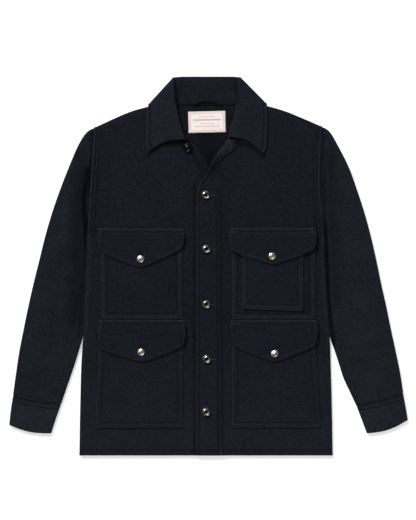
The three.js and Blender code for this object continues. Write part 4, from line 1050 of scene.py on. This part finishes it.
LAPEL_ROW = 4.5
rows = smooth_rows(LAPEL, np.linspace(0, 1, 40))
shares = np.array([0, 0.02, 0.06, 0.12, 0.2, 0.3, 0.4, 0.5, 0.6, 0.7, 0.8, 0.88, 0.94, 0.98, 1])
x = rows[:, :1] + (rows[:, 2:3] - rows[:, :1]) * shares
y = rows[:, 1:2] + (rows[:, 3:4] - rows[:, 1:2]) * shares
lapel_mid = laid(x, y, "left", 0, CLOTH)
made["facing_left"] = shell(
    "facing_left_wool", lapel_mid, CLOTH, navy, raised=lambda far: drawn_in(far.last, LAPEL_ROW),
    painted_light_and_wear={"all": 0.4, "first": 0.5, "last": 0.6, "top": 0.6, "low": 0.6})
declare("facing_left", lapel_mid)

# %% [markdown]
# ## Patch pockets and flaps
# A patch pocket is a square of wool with its edges turned in and stitched down with two rows. The flap is
# sewn above it and snaps shut. Its lower edge comes to a soft point. Both are made from the front's own
# surface, moved out, so they follow its folds.

# %% Patch pockets
PATCHES = {  # corners, as the wearer has them: top right, top left, low right, low left; layers below
    "pocket_chest_right": ((-227.9, 64), (-56.2, 64), (-227.3, -113), (-55.5, -113), 0),
    "pocket_lower_right": ((-231.5, -142), (-54, -142), (-239.8, -343.5), (-54, -342.8), 0),
    "pocket_chest_left": ((49.8, 64), (225.2, 64), (50.2, -113), (226.4, -113), 0),
    "pocket_lower_left": ((50.5, -142), (223.7, -142), (50.5, -342.8), (238.5, -342.8), 0),
    "pocket_small_left": ((71, 46), (200.8, 46), (71.8, -91.2), (200.8, -95.4), 1)}
EDGE_ROWS, FLAP_TOP_ROWS = (2.2, 10.6), (1.8, 8.4)
ROW_DEPTHS, FLAP_ROW_DEPTHS = (0.2, 0.8), (0.2, 0.45)
CELL = 4.2  # the spacing of the grid between its fine lanes
PUFF = 0.9  # how far the middle of a pocket stands off the front


def patch_lift(far):
    """The turned-in edge is a little thicker, and each row of stitches draws it in."""
    edges = np.minimum(np.minimum(far.first, far.last), far.low)
    turned_in = 0.35 * (1 - ease(11.2, 13, edges))
    return turned_in + sum(drawn_in(edges, *row) for row in zip(EDGE_ROWS, ROW_DEPTHS))


for name, (top_a, top_b, low_a, low_b, layers) in PATCHES.items():
    side = "left" if name.endswith("left") else "right"
    near = round_stitches(*EDGE_ROWS)
    wide, high = abs(top_b[0] - top_a[0]), abs(top_a[1] - low_a[1])
    au, bu = lanes(near, int((wide - 26) / CELL), near)
    av, bv = lanes(near, int((high - 20) / CELL), [0, 0.7, 2, 4])
    u, v = np.meshgrid(au / wide + bu, av / high + bv)
    u, v = u[..., None], v[..., None]
    spot = (np.array(low_a) * (1 - u) + np.array(low_b) * u) * (1 - v) + \
        (np.array(top_a) * (1 - u) + np.array(top_b) * u) * v
    puff = PUFF * np.sin(math.pi * u[..., 0]) ** 0.7 * np.sin(math.pi * np.clip(v[..., 0], 0, 1)) ** 0.7
    mid = laid(spot[..., 0], spot[..., 1], side, layers, CLOTH, puff if layers == 0 else PUFF)
    made[name] = shell(name + "_wool", mid, CLOTH, navy, raised=patch_lift,
                       painted_light_and_wear={"first": 0.5, "last": 0.5, "low": 0.55})
    declare(name, mid)


# %% Flaps
FLAPS = {  # sides x, top y, corner y on each side, point x and y, layers below
    "flap_chest_right": (-233.2, -53.6, 79.5, 31.8, 38.1, -144, -3.2, 1),
    "flap_lower_right": (-232.1, -51.9, -114.5, -176, -169.6, -142, -203.1, 1),
    "flap_chest_left": (45.6, 225.8, 80.5, 31.8, 36, 137.8, 2.9, 2),
    "flap_lower_left": (48.4, 228.6, -114.5, -167.5, -167.5, 138.9, -203.3, 1)}
FLAP_SIDE_BULGE, FLAP_POINT_POWER, FLAP_CORNER, FLAP_SETTLE = 3, 1.2, 9, 12
FLAP_PUFF = 1.3  # how far it stands off the pocket below its seam


def flap_bottom(x0, x1, corner0, corner1, point_x, point_y, u):
    """Height of the flap's lower edge: a soft point, and a round corner on each side."""
    share = (point_x - x0) / (x1 - x0)
    near_first = u < share
    s = np.where(near_first, (share - u) / share, (u - share) / (1 - share))
    corner = np.where(near_first, corner0, corner1)
    y = corner + (point_y - corner) * (1 - s ** FLAP_POINT_POWER)
    from_corner = (1 - s) * np.abs(point_x - np.where(near_first, x0, x1))
    bend = np.clip(1 - from_corner / FLAP_CORNER, 0, 1)
    return y + FLAP_CORNER * (1 - np.sqrt(1 - bend * bend))


def flap_lift(far):
    edges = np.minimum(np.minimum(far.first, far.last), far.low)
    turned_in = 0.3 * (1 - ease(11.2, 13, edges))
    edge_rows = sum(drawn_in(edges, *row) for row in zip(EDGE_ROWS, FLAP_ROW_DEPTHS))
    return turned_in + edge_rows + sum(drawn_in(far.top, *row) for row in zip(FLAP_TOP_ROWS, ROW_DEPTHS))


def flap_rise(flap, y):
    """How the flap climbs from the front, where it is sewn, onto its pocket."""
    return flap[7] * (CLOTH + LAY) * ease(-(flap[2] - 1), -(flap[2] - FLAP_SETTLE), -y)


for name, flap in FLAPS.items():
    x0, x1, top, corner0, corner1, point_x, point_y, layers = flap
    side = "left" if name.endswith("left") else "right"
    near = round_stitches(*EDGE_ROWS)
    au, bu = lanes(near, 36, near)
    av, bv = lanes(near, 12, round_stitches(*FLAP_TOP_ROWS))
    u = np.clip(au / (x1 - x0) + bu, 0, 1)[None, :]
    bottom = flap_bottom(x0, x1, corner0, corner1, point_x, point_y, u)
    v = 1 - (av[:, None] + bv[:, None] * (top - bottom)) / (top - bottom)
    y = top + (bottom - top) * v
    bulge = FLAP_SIDE_BULGE * np.sin(math.pi * v) * (2 * u - 1) ** 3
    x = x0 + (x1 - x0) * u + bulge
    mid = laid(x, y, side, 0, CLOTH, flap_rise(flap, y) + FLAP_PUFF * ease(0, 20, top - y))
    made[name] = shell(name + "_wool", mid, CLOTH, navy, raised=flap_lift,
                       painted_light_and_wear={"first": 0.5, "last": 0.5, "low": 0.3, "top": 0.75})
    declare(name, mid)

# %% [markdown]
# ## Label and hanger loop
# The label is a strip of woven cream tape, stitched to the inside of the back. The loop is a folded olive
# tape whose ends are caught in the neck seam.

# %% Label
LABEL_AT, LABEL_TURN, LABEL_THICK, LABEL_RISE = (-3.2, 305.4), math.radians(1.4), 0.9, 0.6
u, v = np.meshgrid(np.linspace(-LABEL_WIDE / 2, LABEL_WIDE / 2, 60),
                   np.linspace(-LABEL_HIGH / 2, LABEL_HIGH / 2, 36))
x = LABEL_AT[0] + u * math.cos(LABEL_TURN) - v * math.sin(LABEL_TURN)
y = LABEL_AT[1] + u * math.sin(LABEL_TURN) + v * math.cos(LABEL_TURN)
waver = 0.25 * np.sin(u / 9) * np.sin(v / 7 + 1)
label_mid = np.stack([x, y, CLOTH + collar_lift(x, y) + LAY + LABEL_RISE + waver], -1)
made["label"] = shell("label_tape", label_mid, LABEL_THICK, label_cloth)
declare("label", label_mid)

# %% Hanger loop
LOOP_FROM, LOOP_TO, LOOP_Y, LOOP_RISE, LOOP_WIDE, LOOP_THICK = -34, 26, 341.5, 10, 8, 1.2
NECK_SEAM_Y, STAND_HEIGHT = 340.2, 60
LOOP_BULGE = 2.9  # how far the tape's middle stands above its two edges
t, w = np.meshgrid(np.linspace(0, 1, 80), np.linspace(-0.5, 0.5, 9))
arch = np.sin(math.pi * t)
slope_x, slope_y = LOOP_TO - LOOP_FROM, LOOP_RISE * math.pi * np.cos(math.pi * t)
tilt = np.hypot(slope_x, slope_y)
wide = LOOP_WIDE * (0.62 + 0.38 * arch)
x = LOOP_FROM + slope_x * t - slope_y / tilt * w * wide
y = LOOP_Y + LOOP_RISE * arch + slope_x / tilt * w * wide
seam_top = RIM_MID - RIM_RADIUS + COLLAR_LIFT + COLLAR_CLOTH / 2 + LAY + 0.6
z = seam_top + (STAND_RISE / STAND_HEIGHT) * (y - NECK_SEAM_Y) + arch + LOOP_BULGE * np.cos(math.pi * w)
loop_mid = np.stack([x, y, z], -1)
made["hanger_loop"] = shell("hanger_loop_tape", loop_mid, LOOP_THICK, olive_tape)
declare("hanger_loop", loop_mid)

# %% [markdown]
# ## Buttons and snaps
# Both are stamped metal. A button starts as a flat disc whose face is drawn out ring by ring: up over a
# rolled rim, down into a dished middle, and up again into a low dome. A snap cap is a shallow dome with a
# fine bead round it.


# %% Stamped metal
BUTTON_RINGS = [  # radius, height, how dark the metal is painted there: painted dark reflection on the dome, painted shade on the outer rim, grime in the groove
    (9.1, 0.5, 1), (9.5, 1.2, 1), (9.4, 2.1, 1), (9.0, 2.8, 1), (8.5, 3.1, 0.55), (8.0, 3.0, 0.1),
    (7.5, 2.5, 0), (7.0, 1.7, 0.15), (6.6, 1.3, 0.5), (6.1, 1.3, 0.4), (5.5, 1.65, 0), (4.7, 2.15, 0.15),
    (3.8, 2.6, 0.7), (2.8, 2.95, 0.95), (1.8, 3.2, 1), (0.9, 3.32, 1), (0.3, 3.36, 1)]
SNAP_RINGS = [
    (7.3, 0.3, 0.3), (7.75, 0.7, 0.1), (7.7, 1.2, 0), (7.3, 1.5, 0), (6.9, 1.45, 0.6), (6.5, 1.5, 0.3),
    (5.9, 1.85, 0), (4.9, 2.3, 0), (3.6, 2.7, 0), (2.2, 2.98, 0), (1.0, 3.12, 0), (0.3, 3.15, 0)]
FIRST_DISC = 0.55  # the disc that a piece starts from, as a share of its first ring


def stamped(name, rings, finish, segments=56):
    """A round metal piece, drawn out ring by ring from a flat disc. Its centre is the origin."""
    bpy.ops.object.select_all(action="DESELECT")
    radius, height = rings[0][0] * FIRST_DISC, 0.0
    bpy.ops.mesh.primitive_circle_add(vertices=segments, radius=radius / 1000, fill_type="NGON")
    piece = bpy.context.object
    piece.name = name
    bpy.ops.object.mode_set(mode="EDIT")
    bpy.ops.mesh.select_all(action="SELECT")
    for next_radius, next_height, _ in rings:
        bpy.ops.mesh.extrude_region_move(
            TRANSFORM_OT_translate={"value": (0, 0, (next_height - height) / 1000)})
        grow = next_radius / radius
        bpy.ops.transform.resize(value=(grow, grow, 1), center_override=(0, 0, 0))
        radius, height = next_radius, next_height
    bpy.ops.mesh.select_all(action="SELECT")
    bpy.ops.mesh.normals_make_consistent(inside=False)
    bpy.ops.object.mode_set(mode="OBJECT")
    bpy.ops.object.shade_smooth()
    radii = np.array([v.co.xy.length * 1000 for v in piece.data.vertices])
    heights = np.array([v.co.z * 1000 for v in piece.data.vertices])
    table = np.array(rings)
    nearest = np.argmin(np.hypot(radii[:, None] - table[:, 0], heights[:, None] - table[:, 1]), 1)
    carry(piece, "painted_dark_and_grime", table[nearest, 2])
    piece.data.materials.append(finish)
    return piece


def put(piece, x, y, z, tilt):
    """Tilts the mesh by a few degrees and moves it to its place, while the object stays at the origin."""
    co = np.array([v.co[:] for v in piece.data.vertices]) * 1000
    ax, ay = (math.radians(d) for d in tilt)
    rx = np.array([[1, 0, 0], [0, math.cos(ax), -math.sin(ax)], [0, math.sin(ax), math.cos(ax)]])
    ry = np.array([[math.cos(ay), 0, math.sin(ay)], [0, 1, 0], [-math.sin(ay), 0, math.cos(ay)]])
    co = co @ (ry @ rx).T + (x, y, z)
    piece.data.vertices.foreach_set("co", (co / 1000).reshape(-1))
    piece.data.update()
    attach(piece, "root")


# %% Buttons and snaps
SNAPS = {"snap_chest_right": (-143.7, 14.6), "snap_lower_right": (-142.7, -182.5),
         "snap_chest_left": (134.4, 21), "snap_lower_left": (139.9, -185.5)}
BUTTONS = {"button_1": (-6.8, 150.9), "button_2": (-5.3, 36), "button_3": (-5.3, -80.6),
           "button_4": (-3.8, -196.8), "button_5": (-5.7, -309.1)}
TOP_BUTTON = (-44.9, 250.6)
TILTS = {  # in degrees about x and y: none of them lies quite flat
    "button_1": (2, 7), "button_2": (-4, 3), "button_3": (5, 4), "button_4": (-2, -3), "button_5": (-7, 1),
    "snap_chest_right": (-6, -4), "snap_lower_right": (-4, -3), "snap_chest_left": (-5, 3),
    "snap_lower_left": (-12, -7)}
TOP_BUTTON_TILT = (-8, -10)
for name, (x, y) in BUTTONS.items():
    piece = stamped(name + "_nickel", BUTTON_RINGS, nickel)
    put(piece, x, y, float(front_top(x, y, "left")) + LAY + 0.3, TILTS[name])
    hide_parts(name)
# the top button lies under the collar's edge, so its nickel is painted dark as shade
piece = stamped("button_collar_nickel", BUTTON_RINGS, shaded_nickel)
put(piece, *TOP_BUTTON, float(front_top(*TOP_BUTTON, "right")) + LAY + 1.8, TOP_BUTTON_TILT)
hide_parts("button_collar")
for (name, (x, y)), flap in zip(SNAPS.items(), FLAPS.values()):
    side = "left" if name.endswith("left") else "right"
    piece = stamped(name + "_nickel", SNAP_RINGS, snap_nickel, 48)
    flap_top = float(front_top(x, y, side)) + LAY + CLOTH + float(flap_rise(flap, y)) + FLAP_PUFF
    put(piece, x, y, flap_top + 0.1, TILTS[name])
    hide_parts(name)
print("metal pieces:", len(BUTTONS) + 1 + len(SNAPS))

# %% [markdown]
# ## Rows of stitches
# Every seam and edge is held by rows of thick thread, about eight stitches to the inch. One stitch is a
# short strand that dips into the cloth at both ends. A row follows a line on the finished piece that
# stays at one distance from its side, so it runs with the folds. All rows of one part are a single mesh
# made from arrays, because thousands of separate strands would be slow.


# %% Stitches
STITCH, PITCH, THREAD = 2.5, 3.2, 0.42  # a stitch's length, the step to the next, the thread's half width
STRAND_SIDES = 6


def row_path(name, side, at, keep=None):
    """The line on a piece's outside at one distance from a side: x, y, z and the cloth's direction there."""
    outer, normal, far = made[name]["outer"], made[name]["normal"], getattr(made[name]["far"], side)
    if side in ("low", "top"):
        outer, normal, far = outer.swapaxes(0, 1), normal.swapaxes(0, 1), far.T
    if side in ("last", "top"):
        outer, normal, far = outer[:, ::-1], normal[:, ::-1], far[:, ::-1]
    both = np.concatenate([outer, normal], -1)
    line = np.array([[np.interp(at, away, row[:, k]) for k in range(6)] for away, row in zip(far, both)])
    return line if keep is None else line[keep(*line[:, :3].T)]


def even_spots(line, pitch, cut=(0, 0)):
    """Evenly spaced places on a path, with the direction along it and the cloth's own."""
    run = np.concatenate([[0], np.cumsum(np.linalg.norm(np.diff(line[:, :3], axis=0), axis=1))])
    count = max(1, round((run[-1] - cut[0] - cut[1]) / pitch))
    at = np.linspace(cut[0], run[-1] - cut[1], 2 * count + 1)[1::2]
    place = np.stack([np.interp(at, run, line[:, k]) for k in range(6)], -1)
    ahead = np.stack([np.interp(at + 0.6, run, line[:, k]) - np.interp(at - 0.6, run, line[:, k])
                      for k in range(3)], -1)
    return np.concatenate([place, ahead], -1)


def strands(name, spots, length, thick, material, sink=0.12):
    """One mesh of many short strands with pointed ends.

    Spots hold each strand's place, the cloth's direction there and the strand's own."""
    place, up, ahead = spots[:, 0:3], spots[:, 3:6], spots[:, 6:9]
    ahead = ahead / np.linalg.norm(ahead, axis=1, keepdims=True)
    across = np.cross(ahead, up)
    across /= np.linalg.norm(across, axis=1, keepdims=True)
    up = np.cross(across, ahead)
    place = place + up * (thick * 0.5 - sink)
    turns = np.arange(STRAND_SIDES) * 2 * math.pi / STRAND_SIDES
    ring = [across * math.cos(a) * thick + up * math.sin(a) * thick * 0.85 for a in turns]
    back, front = place - ahead * length * 0.33, place + ahead * length * 0.33
    first_end, last_end = (place + k * ahead * length / 2 - up * thick * 0.9 for k in (-1, 1))
    points = [first_end, *[back + r for r in ring], *[front + r for r in ring], last_end]
    faces, count = [], len(points)
    for k in range(STRAND_SIDES):
        a, b = 1 + k, 1 + (k + 1) % STRAND_SIDES
        a_front, b_front = a + STRAND_SIDES, b + STRAND_SIDES
        faces += [(0, b, a), (a, b, b_front), (a, b_front, a_front), (count - 1, a_front, b_front)]
    faces = (np.array(faces)[None] + count * np.arange(len(spots))[:, None, None]).reshape(-1, 3)
    piece = new_mesh(name, np.stack(points, 1).reshape(-1, 3), faces, material)
    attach(piece, "root")


def sewn(name, rows, material):
    """Rows of stitches as one mesh. A row: piece, side, distance, what to keep, what its ends lose."""
    spots = [even_spots(row_path(*row[:4]), PITCH, row[4]) for row in rows]
    strands(name, np.concatenate(spots), STITCH, THREAD, material)
    print(f"{name}: {sum(map(len, spots))} stitches")


def above(low):
    """Keeps the part of a row that is nearer the collar than a height."""
    return lambda x, y, z: y > low


# %% Rows on the fronts
rows = [(f"front_{side}", "first", at, above(66), (2, 8))
        for side in ("right", "left") for at in ARMHOLE_ROWS]
rows += [(f"front_{side}", "low", HEM_ROW, None, (6, FRONT_EDGE_ROW)) for side in ("right", "left")]
rows += [("front_left", "last", FRONT_EDGE_ROW, None, (3, 10)),
         ("front_right", "last", FRONT_EDGE_ROW, above(196), (0, 10)),
         ("front_right", "last", FACING_ROW, above(168), (0, 14))]
rows += [("front_left", "last", at, lambda x, y, z: y < BAND_TOP, (2, 0)) for at in BAND_ROWS]
sewn("stitches_fronts", rows, navy_thread)

# %% Rows on the pockets and flaps
def edge_rows(name, at, top_cut):
    """One row down both sides of a piece and along its lower edge."""
    return [(name, "first", at, None, (at, top_cut)), (name, "last", at, None, (at, top_cut)),
            (name, "low", at, None, (at, at))]


rows = []
for name in PATCHES:
    for at in EDGE_ROWS:
        rows += edge_rows(name, at, 2)
sewn("stitches_pockets", rows, navy_thread)

rows = []
for name in FLAPS:
    for at in EDGE_ROWS:
        rows += edge_rows(name, at, 10)
    rows += [(name, "top", at, None, (3, 3)) for at in FLAP_TOP_ROWS]
sewn("stitches_flaps", rows, navy_thread)


# %% Rows on the cuffs, label and collar
rows = [(f"cuff_{side}", "low", at, lambda x, y, z: z > CLOTH, (0, 0))
        for side in ("right", "left") for at in CUFF_ROWS]
sewn("stitches_cuffs", rows, navy_thread)
sewn("stitches_label", [("label", side, 1.3, None, (1.3, 1.3)) for side in ("first", "last", "low", "top")],
     rose_thread)
sewn("stitches_collar", [
    ("collar", "last", COLLAR_ROW, lambda x, y, z: z > 9, (7, 7)),
    ("collar", "low", COLLAR_ROW, None, (22, 7)), ("collar", "top", COLLAR_ROW, None, (22, 7)),
    ("facing_left", "last", LAPEL_ROW, None, (3, 3))], navy_thread)

# %% [markdown]
# ## Bar tacks and buttonholes
# Where a row takes strain at its end, a short bar of close stitches across it keeps it from running.
# These bars show paler than the cloth. A buttonhole is a slit with close stitches across both of its
# lips, and it runs from under its button towards the sleeve. A black strand along the slit is painted
# shadow. The lower lip is painted pale, as painted highlight, so it joins the pale bars.


# %% Bars of stitches
def on_top(name, x, y):
    """The place on a piece's outside below a point seen from above, and the cloth's direction there."""
    outer, normal = made[name]["outer"].reshape(-1, 3), made[name]["normal"].reshape(-1, 3)
    away = np.hypot(outer[:, 0] - x, outer[:, 1] - y) + np.where(normal[:, 2] < 0.5, 1e6, 0)
    near = np.argsort(away)[:4]
    share = 1 / (away[near] + 0.2)
    return np.array([x, y, (outer[near, 2] * share).sum() / share.sum(), *normal[near[0]]])


def bar(name, x, y, length, turn, pitch=0.62):
    """Strands side by side along a bar. Turn is the bar's own direction, in degrees."""
    along = np.array([math.cos(math.radians(turn)), math.sin(math.radians(turn)), 0])
    strand = np.array([-along[1], along[0], 0]) + 0.12 * along
    steps = np.arange(-length / 2, length / 2 + 0.01, pitch)
    return np.array([[*on_top(name, x + along[0] * t, y + along[1] * t), *strand] for t in steps])


# %% Bar tacks and buttonholes
FLAP_BARS = (  # flap, which top row, distance from its side, length, and the side
    ("flap_chest_left", 0, 8, 14, "first"), ("flap_chest_left", 1, 9, 14, "first"),
    ("flap_chest_left", 0, 8, 9, "last"), ("flap_chest_left", 1, 7, 10, "last"),
    ("flap_chest_right", 0, 5, 6, "first"), ("flap_chest_right", 0, 6, 6, "last"),
    ("flap_lower_right", 0, 8, 8, "last"), ("flap_lower_left", 1, 10, 14, "first"),
    ("flap_lower_left", 0, 6, 7, "last"))
HEM_BAR = ("front_left", 26.5, -393.5, 15, 90)
HOLE_FROM, HOLE_TO, LIP, LIP_PITCH = -8, 16, 1.25, 0.7
LAPEL_HOLE = (42, 252, 17, 62)  # x, y, length, turn

pale_strands, lips, slits = [bar(*HEM_BAR)], [], []
for name, row, inset, length, side in FLAP_BARS:
    x = FLAPS[name][0] + inset if side == "first" else FLAPS[name][1] - inset
    pale_strands.append(bar(name, x, FLAPS[name][2] - FLAP_TOP_ROWS[row], length, 0))
print("bar tacks:", len(pale_strands))
middle, length = (HOLE_FROM + HOLE_TO) / 2, HOLE_TO - HOLE_FROM
for x, y in BUTTONS.values():
    # the lower lip in paler thread: painted highlight
    pale_strands.append(bar("front_left", middle, y - LIP, length, 0, LIP_PITCH))
    lips += [bar("front_left", middle, y + LIP, length, 0, LIP_PITCH),
             bar("front_left", HOLE_TO + 0.6, y, 4.4, 90, 0.6)]
    slits.append(np.array([[*on_top("front_left", middle, y), 1.0, 0, 0]]))
strands("bar_tacks", np.concatenate(pale_strands), 2.4, 0.38, pale_thread)
x, y, long, turn = LAPEL_HOLE
aside_x, aside_y = -math.sin(math.radians(turn)) * LIP, math.cos(math.radians(turn)) * LIP
lips += [bar("facing_left", x + k * aside_x, y + k * aside_y, long, turn, LIP_PITCH) for k in (-1, 1)]
strands("buttonhole_lips", np.concatenate(lips), 2.1, 0.36, lip_thread)
# a black strand along each slit: painted shadow
strands("buttonhole_slits", np.concatenate(slits), length - 1, 0.5, slit_shadow, 0.1)
print("buttonholes:", len(slits) + 1)
